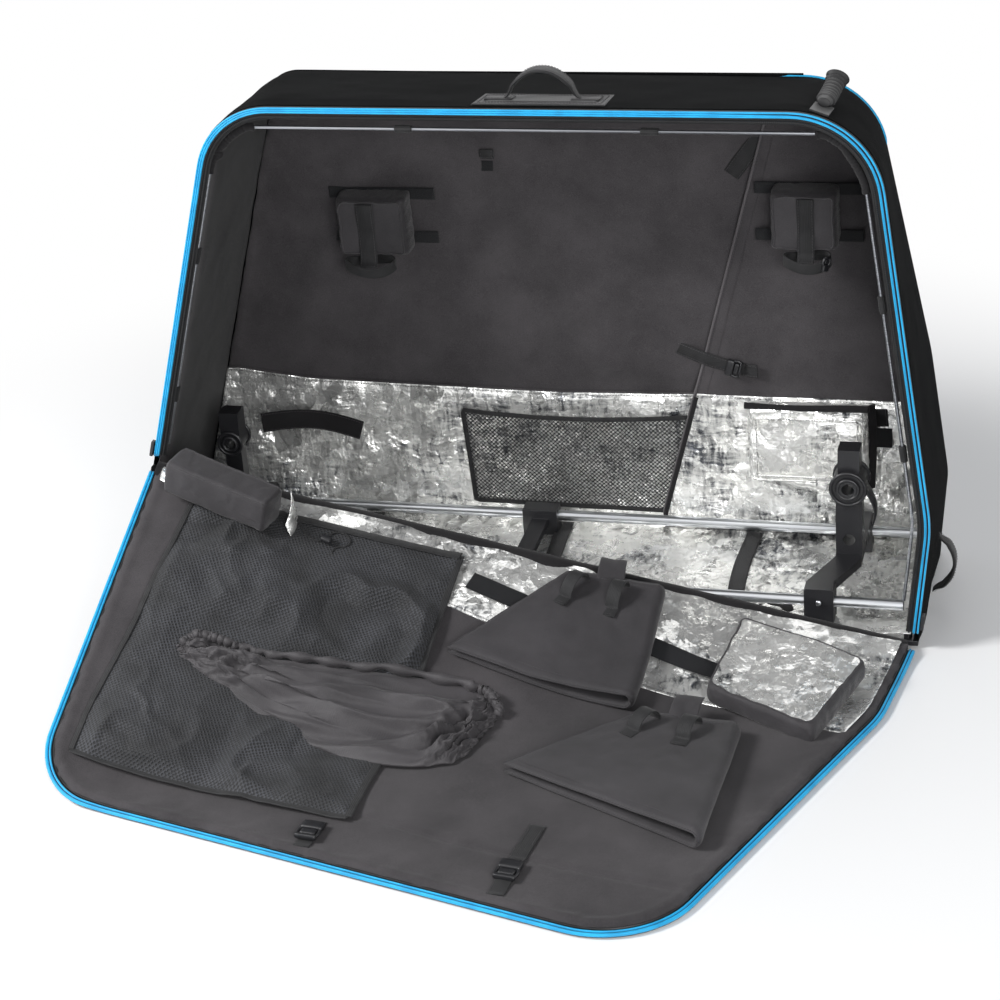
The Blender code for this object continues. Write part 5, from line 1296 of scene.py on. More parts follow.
# Foil along the fold, over both facets: its relief is held flat at its edge and under the net bag
def makeDoorFoil():
    x, z = doorGrid(0.0215, 80, 320, bag["foilTop"], 1.0)
    edge = np.clip((z[-1:, :] - z) / 0.012, 0.1, 1)
    netEdge = 0.259 - (x - 0.160) * 0.2046
    bare = np.clip(np.maximum((x - 0.552) / 0.03, (netEdge - 0.006 - z) / 0.02), 0.06, 1)
    n = liningHeight(x, z) * 0.5 + 0.0012 + foilRelief(x, z, 0.0030, 43) * edge * bare
    piece = clothPiece("door_foil", onDoor(x, z, n), foil, x, z, "foil", foilThick, flip=True, body=None)
    overCrease(piece, "foil", "door_lower_foil", "door_upper_foil")
    keep = x[-1] > 0.50
    route = onDoor(x[-1][keep], z[-1][keep] - 0.004, n[-4][keep] + 0.0009)
    overCrease(stitches("door_foil_stitches", route[::2], upZ, None, "webbing"), "webbing")


# Fold strip's columns: depth and drop before the fold line, then drop and stand-off on the lower facet
foldStrip = {"before": ((0.0122, 0.016), (0.0126, 0.004), (0.0095, -0.0022), (0.004, -0.0056)),
             "after": ((0.002, 0.0066), (0.008, 0.0052), (0.014, 0.0032), (0.020, 0.0024)), "ends": (0.012, 0.980)}


# Cloth over the fold line, from inside the front panel to the door's lining
def makeFoldStrip():
    s = evenly(120)[:, None]
    start, length = foldStrip["ends"]
    line = foldRight + (foldLeft - foldRight) * (start + s * length)
    cols = [line + inwardY * y - upZ * drop for y, drop in foldStrip["before"]]
    cols += [line + facetDown * drop + rampNormal * n for drop, n in foldStrip["after"]]
    wave = softNoise(s * 1.15, s * 0, 0.03, 81) * 0.0008
    piece = gridMesh("fold_strip", toFrame(np.stack(cols, 1) + rampNormal * wave[..., None]), linerDark)
    if piece.data.polygons[len(piece.data.polygons) // 2].normal.z < 0:
        piece.data.flip_normals()
    thicken(piece, finePly)
    sub = piece.modifiers.new("smooth", "SUBSURF")
    sub.levels = sub.render_levels = 2
    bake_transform(piece)
    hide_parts("hinge_seam")


makeDoor()
makeDoorFoil()
makeFoldStrip()
print("door made")

# Net bag lying over the left of the door, in loose folds, with a bound edge on all four sides
meshBagLook = {"corners": ((0.160, 0.259), (0.551, 0.179), (0.656, 0.689), (0.240, 0.715)), "fold": 0.0210,
               "fine": 0.0060, "thickness": 0.0009, "grid": (164, 184), "bindingThickness": 0.0018,
               "bindings": {"right": 0.011, "near": 0.010, "left": 0.008, "far": 0.016}}


# Net bag's x, height and stand-off at shares across and down: folds are one less the size of a noise
def meshBagSurface(s, t):
    a, b, c, d = [np.array(p) for p in meshBagLook["corners"]]
    s1, t1 = s[..., None], t[..., None]
    flat = (a * (1 - s1) + b * s1) * (1 - t1) + (d * (1 - s1) + c * s1) * t1
    x, z = flat[..., 0], flat[..., 1]
    side, end = np.minimum(s, 1 - s), np.minimum(t, 1 - t)
    x = x + softNoise(t, s * 0 + 1, 0.25, 91) * 0.006 * (side < 0.5) * (1 - 2 * side)
    z = z + softNoise(s, t * 0 + 2, 0.22, 92) * 0.006 * (1 - 2 * end)
    folds = (1 - np.abs(layeredNoise(x + z * 0.5, z * 0.7 - x * 0.6, 0.13, 93, 2)) * 1.6) * meshBagLook["fold"]
    fine = 1 - np.abs(layeredNoise(x * 0.8 - z * 0.5, z * 0.9 + x * 0.3, 0.060, 99, 2)) * 1.8
    middle = 0.507 - 0.20 * np.clip(x - 0.29, 0, 1) ** 1.3
    under = hump(z - middle, 0.085, 4) * shareOf(x - 0.17, 0.10)
    folds = (np.maximum(folds, 0.0015) + np.maximum(fine, 0) * meshBagLook["fine"]) * (1 - 0.75 * under)
    slack = hump(np.hypot(x - 0.21, z - 0.28), 0.075) * np.abs(np.sin((x * 0.4 + z) / 0.011)) * 0.0045
    low = hump(x - 0.367, 0.080) * hump(z - 0.245, 0.055)
    edge = shareOf(np.minimum(side, end), 0.04)
    return x, z, liningHeight(x, z) * 0.4 + 0.0044 + (folds + slack) * (0.25 + 0.75 * edge) * (1 - low * 0.85)


# The net's cloth, and a flat binding along each of its sides
def makeMeshBag():
    look = meshBagLook
    x, z, n = meshBagSurface(*np.meshgrid(*[evenly(count) for count in look["grid"]]))
    piece = gridMesh("mesh_bag_cloth", onDoor(x, z, n), meshNet, uv=np.stack([x, z], -1), flip=True)
    if piece.data.polygons[9000].normal.z < 0:
        piece.data.flip_normals()
    thicken(piece, look["thickness"])
    overCrease(piece, "net", "mesh_bag", "mesh_bag_fold")
    k = evenly(160)
    sides = {"right": (k * 0 + 1, k), "near": (k, k * 0 + 1), "left": (k * 0, k), "far": (k, k * 0)}
    for name, width in look["bindings"].items():
        x, z, n = meshBagSurface(*sides[name])
        profile = strip(width, look["bindingThickness"])
        overCrease(sweep(f"mesh_bag_binding_{name}", onDoor(x, z, n + 0.0010), profile, upZ, webbing), "webbing")


makeMeshBag()

# Gathered cover: a pouch with an elastic edge, crumpled into a heap. Rows: x, far, near, size.
coverLook = {"rows": ((0.281, 0.502, 0.512, 0.15), (0.306, 0.476, 0.523, 0.6), (0.396, 0.465, 0.542, 1.0),
                      (0.504, 0.428, 0.561, 1.0), (0.600, 0.3925, 0.569, 1.0), (0.678, 0.373, 0.553, 0.95),
                      (0.716, 0.388, 0.526, 0.55), (0.727, 0.405, 0.505, 0.1)),
             "height": 0.034, "seat": 0.0056, "count": 180, "around": 90, "length": 0.46, "girth": 0.15,
             "elastic": 0.0052}


# A dome from the far to the near edge, by a root of a half sine, with folds and fine gathers at its far edge
def makeCover():
    k = coverLook
    count, seat, girth = k["count"], k["seat"], k["girth"]
    x0, far, near, size = smoothCurve(np.array(k["rows"]), count).T[..., None]
    size = np.clip(size, 0.08, 1.05)
    v = evenly(k["around"])[None]
    along, vv = alike(np.linspace(0, k["length"], count)[:, None], v)
    pitch = np.sin(along / 0.0023 + softNoise(along, vv * 0, 0.04, 101) * 2.2)
    z = far + (near - far) * v + softNoise(along, vv, 0.06, 102) * 0.006 * np.sin(math.pi * v)
    dome = np.sin(math.pi * np.clip(v, 0.001, 0.999)) ** 0.55 * (1.06 - 0.22 * v)
    deep = (1 - np.abs(layeredNoise(along + vv * 0.05, vv * 0.12 - along * 0.25, 0.050, 103)) * 1.9)
    folds = (1 - np.abs(layeredNoise(along * 0.6 + vv * 0.03, vv * 0.10 + along * 0.5, 0.026, 107, 3)) * 2.4) * 0.36
    gather = pitch * hump(vv, 0.16, 1) * 0.16
    n = seat + k["height"] * size * dome * np.clip(0.50 + 0.32 * deep + folds + gather, 0.2, 1.15)
    x = x0 + softNoise(along, vv, 0.05, 108) * 0.004 + 0.0010 * pitch * hump(vv, 0.2, 1)
    back = np.linspace(1, 0, 42)[None, 1:-1]
    xl, zl, low = alike(x0, far + (near - far) * back, seat)
    points = np.concatenate([onDoor(x, z, n), onDoor(xl, zl, low)], 1)
    lengths = np.stack([np.concatenate([along, along[:, :40]], 1),
                        np.concatenate([vv * girth, np.broadcast_to(back * girth, low.shape)], 1)], -1)
    piece = faceOut(gridMesh("chain_cover_cloth", points, coverCloth, wrapCols=True, capEnds=True, uv=lengths))
    settle(piece, "door_lower", "liner", "chain_cover")
    u = np.linspace(0.03, 0.97, 420)
    ex, ez, en = pointsAt(np.c_[x0, far, n[:, 6]], evenly(count), u).T
    wob = np.sin(u * k["length"] / 0.0019 + softNoise(u, u * 0, 0.05, 111) * 2)
    edge = onDoor(ex, ez - 0.002 + wob * 0.0012, en + 0.003 + softNoise(u, u, 0.06, 112) * 0.002)
    size = 1 + 0.34 * wob + 0.15 * softNoise(u, u * 0, 0.02, 113)
    trim("chain_cover_elastic", edge, ring(k["elastic"], 14, 1.25), upZ, coverCloth, "door_lower", "liner",
         scale=size)


makeCover()
print("mesh bag and cover made")


# Padded sheet: a middle surface with a thickness that falls away at its edges, closed all round
def paddedSheet(name, middle, thickness, material, uv=None):
    normal = np.cross(np.gradient(middle, axis=0), np.gradient(middle, axis=1))
    normal /= np.maximum(np.linalg.norm(normal, axis=-1), 1e-9)[..., None]
    half = thickness[..., None] / 2
    points = np.concatenate([middle + normal * half, (middle - normal * half)[:, ::-1]], 1)
    if uv is None:
        down, across = runLengths(middle[:, middle.shape[1] // 2]), runLengths(middle[middle.shape[0] // 2])
        uv = np.stack(np.broadcast_arrays(down[:, None], across[None, :]), -1)
    rows, cols = points.shape[:2]
    piece = gridMesh(name, points, material, wrapCols=True, uv=np.concatenate([uv, uv[:, ::-1]], 1))

    def close(work):
        work.verts.ensure_lookup_table()
        for r in (0, rows - 1):
            for k in range(cols // 2 - 1):
                quad = [r * cols + k, r * cols + k + 1, r * cols + cols - 2 - k, r * cols + cols - 1 - k]
                work.faces.new([work.verts[q] for q in quad]).smooth = True
        bmesh.ops.recalc_face_normals(work, faces=work.faces)
    edited(piece.data, close)
    return piece


# Frame pads: each a padded sheet folded over, with its fold at the right and its mouth at the left
padLook = {"sheet": 0.0085, "fold": 0.030, "mouth": 0.0135, "loopWidth": 0.021, "webbing": 0.0020, "width": 0.21,
           "length": 0.50, "rows": 90, "cols": 170, "turn": (0.44, 0.56), "reach": 0.012, "welt": 0.0015,
           "loops": (0.30, 0.72), "loopLength": 0.058, "loopRise": 0.0205, "tab": 0.044, "tabThickness": 0.0030}
framePads = {"frame_pad_far": {"corners": ((0.699, 0.138), (0.831, 0.104), (0.883, 0.317), (0.612, 0.336)),
                               "seat": 0.0040, "body": "door_lower", "seed": 121},
             "frame_pad_near": {"corners": ((0.907, 0.338), (1.044, 0.324), (1.098, 0.581), (0.794, 0.516)),
                                "seat": 0.0022, "body": "door_upper", "seed": 141}}


# Edge profile of a padded sheet: one inside, falling round to nothing at both ends
def padEdge(t, length, reach):
    near = shareOf(np.minimum(t, 1 - t) * length, reach)
    return np.sqrt(1 - (1 - near) ** 2)


# Middle surface of a folded sheet: a flat lower leaf, a half circle at the fold and an upper leaf to the mouth
def foldedSurface(look):
    farLeft, farRight, nearRight, nearLeft = [np.array(p) for p in look["corners"]]
    r = evenly(padLook["rows"])
    a = farLeft + (nearLeft - farLeft) * r[:, None]
    b = farRight + (nearRight - farRight) * r[:, None]
    s = padLook["sheet"]
    lowMid, highMid, mouthMid = s / 2, padLook["fold"] - s / 2, padLook["mouth"] + s / 2
    radius = (highMid - lowMid) / 2
    c = evenly(padLook["cols"])
    first, last = padLook["turn"]
    turn = shareOf(c - first, last - first) * math.pi
    flatHigh = shareOf(c - last, 1 - last)
    along = np.where(c < first, shareOf(c, first), np.where(c < last, 1, 1 - flatHigh))
    extra = np.where((c >= first) & (c <= last), np.sin(turn) * radius, 0)
    height = np.where(c < first, lowMid, np.where(c < last, (lowMid + highMid) / 2 - np.cos(turn) * radius,
                                                  highMid + (mouthMid - highMid) * flatHigh ** 0.85))
    width = np.linalg.norm(b - a, axis=1)[:, None]
    place = a[:, None] + ((b - a) / width)[:, None] * (along[None] * (width - radius * 0.9) + extra[None])[..., None]
    return place[..., 0], place[..., 1], height


# Lift that keeps a flat piece of the far side of the crease clear of the other facet
def flatLift(x, z, side):
    return np.maximum(creaseLengths(x, z)[1] * side, 0) * math.tan(math.radians(24.956))


# A pad's cloth with its welt and its two rows of stitches
def makeFramePads():
    k = padLook
    for name, look in framePads.items():
        x, z, height = foldedSurface(look)
        r, c = alike(evenly(k["rows"])[:, None], evenly(k["cols"])[None])
        u, v, seed, body = r * k["width"], c * k["length"], look["seed"], look["body"]
        upper = shareOf(c - k["turn"][1], 1 - k["turn"][1])
        sagging = layeredNoise(u, v, 0.11, seed) * 0.0022 * upper + layeredNoise(u, v, 0.035, seed + 3, 2) * 0.0009
        middle = onDoor(x, z, look["seat"] + height + sagging)
        full = padEdge(r, k["width"], k["reach"]) * padEdge(c, k["length"], k["reach"])
        thickness = k["sheet"] * (0.16 + 0.84 * full) * (1 + layeredNoise(u, v, 0.05, seed + 5) * 0.22)
        piece = paddedSheet(name + "_cloth", middle, thickness, padCloth, uv=np.stack([u, v], -1))
        settle(piece, body, "liner", name)
        around = np.concatenate([middle[0], middle[1:-1, -1], middle[-1, ::-1], middle[1:-1, 0][::-1]])
        trim(name + "_welt", around[::2], ring(k["welt"], 8), upZ, padCloth, body, "liner", closed=True)
        for tag, row in (("far", 5), ("near", k["rows"] - 6)):
            line = middle[row, int(k["cols"] * 0.58):int(k["cols"] * 0.985)] + upZ * k["sheet"] * 0.47
            stitches(f"{name}_stitches_{tag}", line, upZ, body, "webbing", lift=0.0002)
        makePadTrim(name, middle, body, seed)


# Webbing loops that rise in a rooted half sine and lie flat after it, and a tab that stands up at the far edge
def makePadTrim(name, middle, body, seed):
    k, (rows, cols) = padLook, middle.shape[:2]
    for i, share in enumerate(k["loops"]):
        col = int(cols * (1 - 0.44 * share * 0.96))
        ahead = unit(middle[int(rows * 0.40), col] - middle[int(rows * 0.05), col])
        t = evenly(60)
        wave = np.sin(math.pi * shareOf(t, 0.72))
        bow = wave ** 0.55 * (k["loopRise"] - 0.0070 * t)
        along = k["loopLength"] * t + 0.006 * wave * (t - 0.36) * 2
        route = middle[int(rows * 0.09), col] + ahead * along[:, None] + \
            upZ * (bow + k["sheet"] / 2 + 0.0016)[:, None]
        trim(f"{name}_loop_{i}", route, strip(k["loopWidth"], k["webbing"]), upZ, webbing, body, "webbing")
        across = unit(np.cross(ahead, upZ)) * 0.0055
        for at in (46, 56):
            line = route[at] + across * np.linspace(-1, 1, 8)[:, None] + upZ * k["webbing"] / 2
            stitches(f"{name}_loop_stitches_{i}_{at}", line, upZ, body, "webbing", pitch=0.003, length=0.002)
    a, b = [middle[2, int(cols * (1 - 0.44 * share))] for share in (0.36, 0.66)]
    out = unit(np.cross(b - a, upZ))
    out = out if out @ (a - middle[rows // 2, int(cols * 0.75)]) > 0 else -out
    s, t = np.meshgrid(evenly(40), evenly(26))
    rise = np.sin(t * 1.9) * 0.012 + softNoise(s * 0.08, t * 0.05, 0.03, seed + 9) * 0.002
    tab = a + (b - a) * (s * (1 - 0.06 * t))[..., None] + out * (t * k["tab"] - 0.006)[..., None] + \
        upZ * rise[..., None]
    thick = k["tabThickness"] * (0.3 + 0.7 * padEdge(s, 0.08, 0.005) * padEdge(t, 0.04, 0.005))
    settle(paddedSheet(name + "_tab", tab, thick, padCloth), body, "liner")


makeFramePads()
print("frame pads made")


# Loop of points round corners that are rounded by a radius, evenly spaced
def roundedLoop(corners, radius, count):
    p = np.array(corners, float)
    t = evenly(12)[:, None]
    pts = []
    for k in range(len(p)):
        a, b, c = p[k - 1], p[k], p[(k + 1) % len(p)]
        start, end = b + unit(a - b) * radius, b + unit(c - b) * radius
        pts.append(start * (1 - t) ** 2 + b * 2 * t * (1 - t) + end * t ** 2)
    pts = np.concatenate(pts + [pts[0][:1]])
    step = runLengths(pts)
    return pointsAt(pts, step, np.linspace(0, step[-1], count, endpoint=False))


# Four corners of a box from its low and high sides, moved in by an inset
def boxCorners(x0, z0, x1, z1, inset=0.0):
    return ((x0 + inset, z0 + inset), (x1 - inset, z0 + inset), (x1 - inset, z1 - inset), (x0 + inset, z1 - inset))


# Soft block: rings from the middle of its base out to its side, up, and in over a crowned face
def pillowBlock(name, corners, mapTo, low, high, slot, sideMaterial, topMaterial, seed, body="bag", rounding=0.010,
                shoulder=0.005, crown=0.004, wrinkle=0.0010, relief=None, lift=None, count=220, welt=0.0014):
    loop = roundedLoop(corners, rounding, count)
    centre = loop.mean(axis=0)
    size = np.linalg.norm(loop - centre, axis=1).mean()
    rings = [(1 - shoulder / size * 0.6) * q for q in np.linspace(0.02, 0.96, 26)[::3]]
    heights = [0.0] * len(rings)
    t = evenly(16)
    rings += list(1 - shoulder / size * (np.abs(2 * t - 1) ** 5) + 0.004 * np.sin(math.pi * t))
    heights += list(t)
    sideEnd = len(rings)
    rings += [(1 - shoulder / size) * q for q in np.linspace(0.985, 0.012, 44)]
    heights += [1.0] * 44
    rings, heights = np.array(rings), np.array(heights)[:, None]
    order, top = np.arange(len(rings)), heights == 1
    flat = centre + (loop - centre)[None] * rings[:, None, None]
    x, z = flat[..., 0], flat[..., 1]
    base = low if lift is None else low + lift(x, z)
    dome = np.where(order >= sideEnd, 1 - (rings / rings[sideEnd]) ** 2, 0) * crown
    dent = layeredNoise(x, z + heights * 0.03, 0.05, seed) * wrinkle
    if relief is not None:
        dent = dent + relief(x, z) * shareOf(1 - rings, 0.06)[:, None] * top
    n = base + (high - low) * heights + dome[:, None] + dent * top
    side = (heights > 0) & (order < sideEnd)[:, None]
    swell = layeredNoise(*alike(np.arange(count) * 0.004, heights * 0.05 + x * 0), 0.03, seed + 4)
    flat = flat + (loop - centre)[None] / size * (swell * wrinkle * 0.8 * side)[..., None]
    points = mapTo(flat[..., 0], flat[..., 1], n)
    piece = gridMesh(name, points, sideMaterial, wrapCols=True, capEnds=True, uv=np.stack([x, z + n], -1))
    piece.data.materials.append(topMaterial)
    index = np.repeat((order[:-1] >= sideEnd - 1).astype(np.int32), count)
    piece.data.polygons.foreach_set("material_index", np.r_[index, 0, 1].astype(np.int32))
    settle(faceOut(piece, merge=0), body, slot)
    trim(name + "_welt", points[sideEnd - 1][::2], ring(welt, 8), points[sideEnd + 4, 0] - points[2, 0], sideMaterial,
         body, slot, closed=True)
    return piece


# Padded block under foil near the door's right end
blockLook = {"corners": ((0.958, 0.106), (1.1508, 0.1256), (1.1376, 0.2983), (0.975, 0.270)), "height": 0.030,
             "low": 0.0022, "relief": 0.0044}


# The block's base is the plane that fits the lifts of its corners best
def makeBlock():
    corners = np.array(blockLook["corners"])
    level = np.linalg.lstsq(np.column_stack([corners, np.ones(4)]), flatLift(corners[:, 0], corners[:, 1], -1),
                            rcond=None)[0]
    piece = pillowBlock("block_pad_cloth", blockLook["corners"], onUpperDoor, blockLook["low"],
                        0.0018 + blockLook["height"], "foil", padCloth, foil, 55, "door_upper", 0.012, 0.005, 0.003,
                        0.0016, lambda x, z: foilRelief(x, z, blockLook["relief"], 53) - 0.0018,
                        lambda x, z: level[0] * x + level[1] * z + level[2], 260, 0.0012)
    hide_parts("block_pad")


makeBlock()


# Side-release buckle: three rounded blocks along its length, and a bowed prong on each side
def buckleBody(name, centre, ahead, rise, body, width=0.029, length=0.036, high=0.0075):
    ahead, rise = unit(ahead), unit(rise)
    side = np.cross(ahead, rise)
    pieces = []
    parts = ((-0.27, 0.46, width, high), (0.16, 0.30, width * 0.72, high * 0.82), (0.42, 0.16, width, high * 0.9))
    for i, (at, long, wide, tall) in enumerate(parts):
        outer = roundedLoop(boxCorners(-wide / 2, -long * length / 2, wide / 2, long * length / 2), 0.0022, 40)
        rows = []
        for q, h in ((0.86, 0.0), (1.0, 0.12), (1.02, 0.5), (1.0, 0.88), (0.90, 1.0), (0.6, 1.03), (0.2, 1.03)):
            flat = outer * q
            rows.append(centre + side * flat[:, :1] + ahead * (flat[:, 1:] + at * length) + rise * (h * tall))
        pieces.append(gridMesh(f"{name}_{i}", np.array(rows), plastic, wrapCols=True, capEnds=True))
    for s in (-1, 1):
        bow = np.sin(np.linspace(0, math.pi, 12)) * 0.0018
        route = centre + side * (s * width * 0.43) + ahead * (np.linspace(-0.1, 0.40, 12) * length)[:, None] + \
            rise * high * 0.42 + side * (s * bow)[:, None]
        pieces.append(sweep(f"{name}_prong_{s}", route, ring(0.0022, 10), rise, plastic))
    return settle(faceOut(merged(name, pieces)), body, "plastic")


# Door straps: name, two ends, and the buckle's share of the length
strapLook = {"straps": (("door_strap_left", (0.6252, 0.705), (0.6336, 0.763), 0.50),
                        ("door_strap_right", (0.8906, 0.6076), (0.9094, 0.760), 0.70)),
             "width": 0.022, "thickness": 0.0019, "seam": 0.0082}


# Each strap lies on the lining, bowed by a half sine and raised at its buckle
def makeDoorStraps():
    look = strapLook
    for name, a, b, share in look["straps"]:
        t = evenly(60)
        x, z = (np.array(a) + (np.array(b) - np.array(a)) * t[:, None]).T
        n = liningHeight(x, z) + 0.0022 + np.sin(math.pi * t) * 0.0012 + 0.0030 * hump(t - share, 0.14)
        route = onDoor(x, z, n)
        trim(name + "_webbing", route, strip(look["width"], look["thickness"]), upZ, webbing, "door_upper", "webbing",
             name)
        k = int(share * 59)
        buckleBody(name + "_buckle", route[k] - upZ * 0.0015, route[k + 2] - route[k - 2], upZ, "door_upper")
        across = unit(np.cross(route[-1] - route[0], upZ))
        for tag, side in (("left", -look["seam"]), ("right", look["seam"])):
            line = route[4:18] + across * side + upZ * 0.0010
            stitches(f"{name}_stitches_{tag}", line, upZ, "door_upper", "webbing")


# Thin strip of hooks over a box of lengths, its edges rounded off
def hookPatch(name, x0, x1, z0, z1, mapTo, n, body, seed):
    x, z, s, t = quadGrid(boxCorners(x0, z0, x1, z1), 24, 80)
    edge = padEdge(s, x1 - x0, 0.003) * padEdge(t, z1 - z0, 0.003)
    mid = mapTo(x, z, n(x, z) + layeredNoise(x, z, 0.03, seed) * 0.0004)
    piece = paddedSheet(name, mid, 0.0018 * (0.25 + 0.75 * edge), hookStrip, uv=np.stack([x, z], -1))
    return settle(piece, body, "webbing")


makeDoorStraps()
for tag, *box, seed in (("left", 0.580, 0.722, 0.196, 0.226, 131), ("right", 0.838, 0.972, 0.177, 0.208, 133)):
    hookPatch("door_hook_" + tag, *box, onDoor, lambda x, z: liningHeight(x, z) * 0.5 + 0.0016 + 0.0068,
              "door_lower", seed)
print("door straps made")


# Centre, length, width and normal directions of a flat box-like node, and its sizes along them
def flatAxes(node):
    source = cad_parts[node]
    verts = np.zeros(len(source.data.vertices) * 3)
    source.data.vertices.foreach_get("co", verts)
    place = np.array(source.matrix_world)
    verts = verts.reshape(-1, 3) @ place[:3, :3].T + place[:3, 3]
    centre = (verts.max(0) + verts.min(0)) / 2
    turns = np.linalg.svd(verts - verts.mean(0), full_matrices=False)[2]
    turns = turns * np.sign(turns[np.arange(3), np.abs(turns).argmax(1)])[:, None]
    local = (verts - centre) @ turns.T
    return centre + ((local.max(0) + local.min(0)) / 2) @ turns, turns, local.max(0) - local.min(0)


# Strip of webbing along a path, with a row of stitches near each of its edges
def webStrip(name, route, width, thickness, rise, body, *nodes, material=webbing, scale=None):
    piece = trim(name, route, strip(width, thickness), rise, material, body, "webbing", *nodes, scale=scale)
    narrow = np.ones(len(route)) if scale is None else scale
    _, side, up = pathFrames(np.asarray(route, float), rise)
    for tag, sign in (("left", -1), ("right", 1)):
        line = route + side * (sign * (width / 2 - 0.0025) * narrow)[:, None] + up * (thickness / 2)
        stitches(f"{name}_stitches_{tag}", line, rise, body, "webbing")
    return piece


pocketFoil = {"low": 0.028, "rows": 90, "cols": 160, "inset": 0.0145, "gap": 0.003, "height": 0.0034,
              "binding": (0.007, 0.0020)}


# Foil lining of the wheel pocket's lower part: the pocket's stand-off, the foil's relief and a sagging fold
def makePocketFoil():
    s = pocketFoil
    top = bag["foilTop"]
    heights = np.linspace(s["low"], top, s["rows"])
    x, z = spanGrid(outline(backCorners, s["inset"], 0.012, 0.012), heights, s["cols"],
                    lambda h: flapEdge(h) + s["gap"])
    n = pocketLift(x, z) + 0.0014 + foilRelief(x, z, s["height"], 43) * np.clip((top - z) / 0.012, 0.1, 1)
    sag = hump(z - 0.105 - 0.03 * np.sin(x * 9), 0.012) * shareOf(x - 0.86, 0.08) * 0.008
    clothPiece("foil_pocket", onWall(x, z, n + sag), foil, x, z, "foil", foilThick)
    edge = onWall(x[-1], z[-1] - 0.004, n[-1] + 0.0008)
    stitches("foil_pocket_stitches", edge, towardFront, "bag", "webbing")
    bind = onWall(x[:, 0] + 0.001, heights, n[:, 0] + 0.0010)
    trim("foil_pocket_binding", bind[::3], strip(*s["binding"]), towardFront, linerDark, "bag", "liner")


makePocketFoil()

# Pads on the back wall: a boxy cushion, a strap down its front that ends in a ring, and two hook strips
wallPads = ({"name": "wall_pad_left", "corners": (0.312, 0.488, 0.4176, 0.577), "seat": 0.0022, "high": 0.0535,
             "strips": ((0.292, 0.454, 0.570), (0.292, 0.454, 0.501)), "ring": 0.037, "strap": 0.026, "seed": 201,
             "strapShift": -0.006},
            {"name": "wall_pad_right", "corners": (0.954, 0.518, 1.0476, 0.6045), "seat": 0.0160, "high": 0.0680,
             "strips": ((0.927, 1.080, 0.595), (0.927, 1.080, 0.524)), "ring": 0.032, "strap": 0.024, "seed": 211,
             "strapShift": 0.004})


# The ring is a circle with two waves, flattened in depth, that hangs below the cushion
def makeWallPad(s):
    name = s["name"]
    x0, z0, x1, z1 = s["corners"]
    piece = pillowBlock(name + "_cushion", boxCorners(x0, z0, x1, z1), onWall, s["seat"] + 0.0016, s["high"] - 0.002,
                        "liner", padCloth, padCloth, s["seed"], rounding=0.008, shoulder=0.006, crown=0.003,
                        wrinkle=0.0016)
    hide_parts(name)
    for i, (a, b, z) in enumerate(s["strips"]):
        hookPatch(f"{name}_hook_{i}", a, b, z - 0.009, z + 0.009, onWall, lambda x, h: x * 0 + s["seat"] + 0.0060,
                  "bag", s["seed"] + i)
    middle = (x0 + x1) / 2 + s["strapShift"]
    t = evenly(60)
    height = z1 - 0.006 + (z0 - 0.012 - z1 + 0.006) * t
    front = s["high"] + 0.0022 + 0.0012 * np.sin(t * 9) + 0.010 * shareOf(t - 0.85, 0.15) ** 2
    webStrip(name + "_strap", onWall(middle, height, front), s["strap"], 0.0020, towardFront, "bag")
    angle = np.linspace(0, 2 * math.pi, 90, endpoint=False)
    r = s["ring"]
    wave = 1 + 0.05 * np.sin(angle * 3 + 1)
    drop = 0.0040 * np.cos(angle * 2 + 0.6) - 0.004 * np.sin(angle)
    route = onWall(middle + np.cos(angle) * r * wave, z0 - 0.012 + drop, s["high"] + 0.002 + np.sin(angle) * r * 0.42)
    trim(name + "_ring", route, strip(0.015, 0.0022)[:, ::-1], upZ, webbing, "bag", "webbing", closed=True)
    if name.endswith("right"):
        buckleBody(name + "_buckle", onWall(middle + r * 0.86, z0 - 0.012, s["high"] + 0.010), (0.2, 0.1, 1),
                   (0.75, -0.66, 0), "bag", 0.010, 0.022, 0.0045)


for pad in wallPads:
    makeWallPad(pad)
print("wall pads made")

# Foil-faced pad on the pocket, with a sewn frame, a dark hem along its top and a dark strip down its side
foilPadLook = {"corners": (0.9096, 0.135, 1.086, 0.259), "low": 0.0165, "high": 0.0500, "inset": 0.014,
               "relief": 0.0026, "frame": 0.0015, "hem": 0.0052, "side": (0.013, 0.0030)}


# The frame follows the inset corners over the crowned face. Hem and strip wander in small sine waves.
def makeFoilPad():
    s = foilPadLook
    x0, z0, x1, z1 = s["corners"]
    high = s["high"]
    piece = pillowBlock("foil_pad_cushion", boxCorners(x0, z0, x1, z1), onWall, s["low"], high, "foil", foil, foil,
                        221, rounding=0.006, shoulder=0.007, crown=0.0035, wrinkle=0.0014,
                        relief=lambda x, z: (foilRelief(x, z, s["relief"], 63) - 0.002) * 0.8)
    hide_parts("foil_pad")
    x, z = roundedLoop(boxCorners(x0, z0, x1, z1, s["inset"]), 0.004, 160).T
    rise = high + 0.0040 + layeredNoise(x, z, 0.05, 221) * 0.0014
    stitches("foil_pad_stitches", onWall(x, z, rise), towardFront, "bag", "webbing")
    trim("foil_pad_frame", onWall(x, z, rise - 0.0009), ring(s["frame"], 8), towardFront, foil, "bag", "foil",
         closed=True)
    t = evenly(80)
    top = onWall(x0 - 0.004 + (x1 - x0 + 0.006) * t, z1 + 0.001 - 0.002 * np.sin(t * 5), high - 0.006 + t * 0.002)
    trim("foil_pad_hem", top, ring(s["hem"], 14, 0.8), towardFront, linerDark, "bag", "liner")
    down = onWall(x1 + 0.004 + 0.002 * np.sin(t * 4), z1 + 0.006 - (z1 - z0 + 0.02) * t, high - 0.012 - 0.010 * t)
    trim("foil_pad_side_strip", down, strip(*s["side"]), (0.6, -1, 0), linerDark, "bag", "liner")


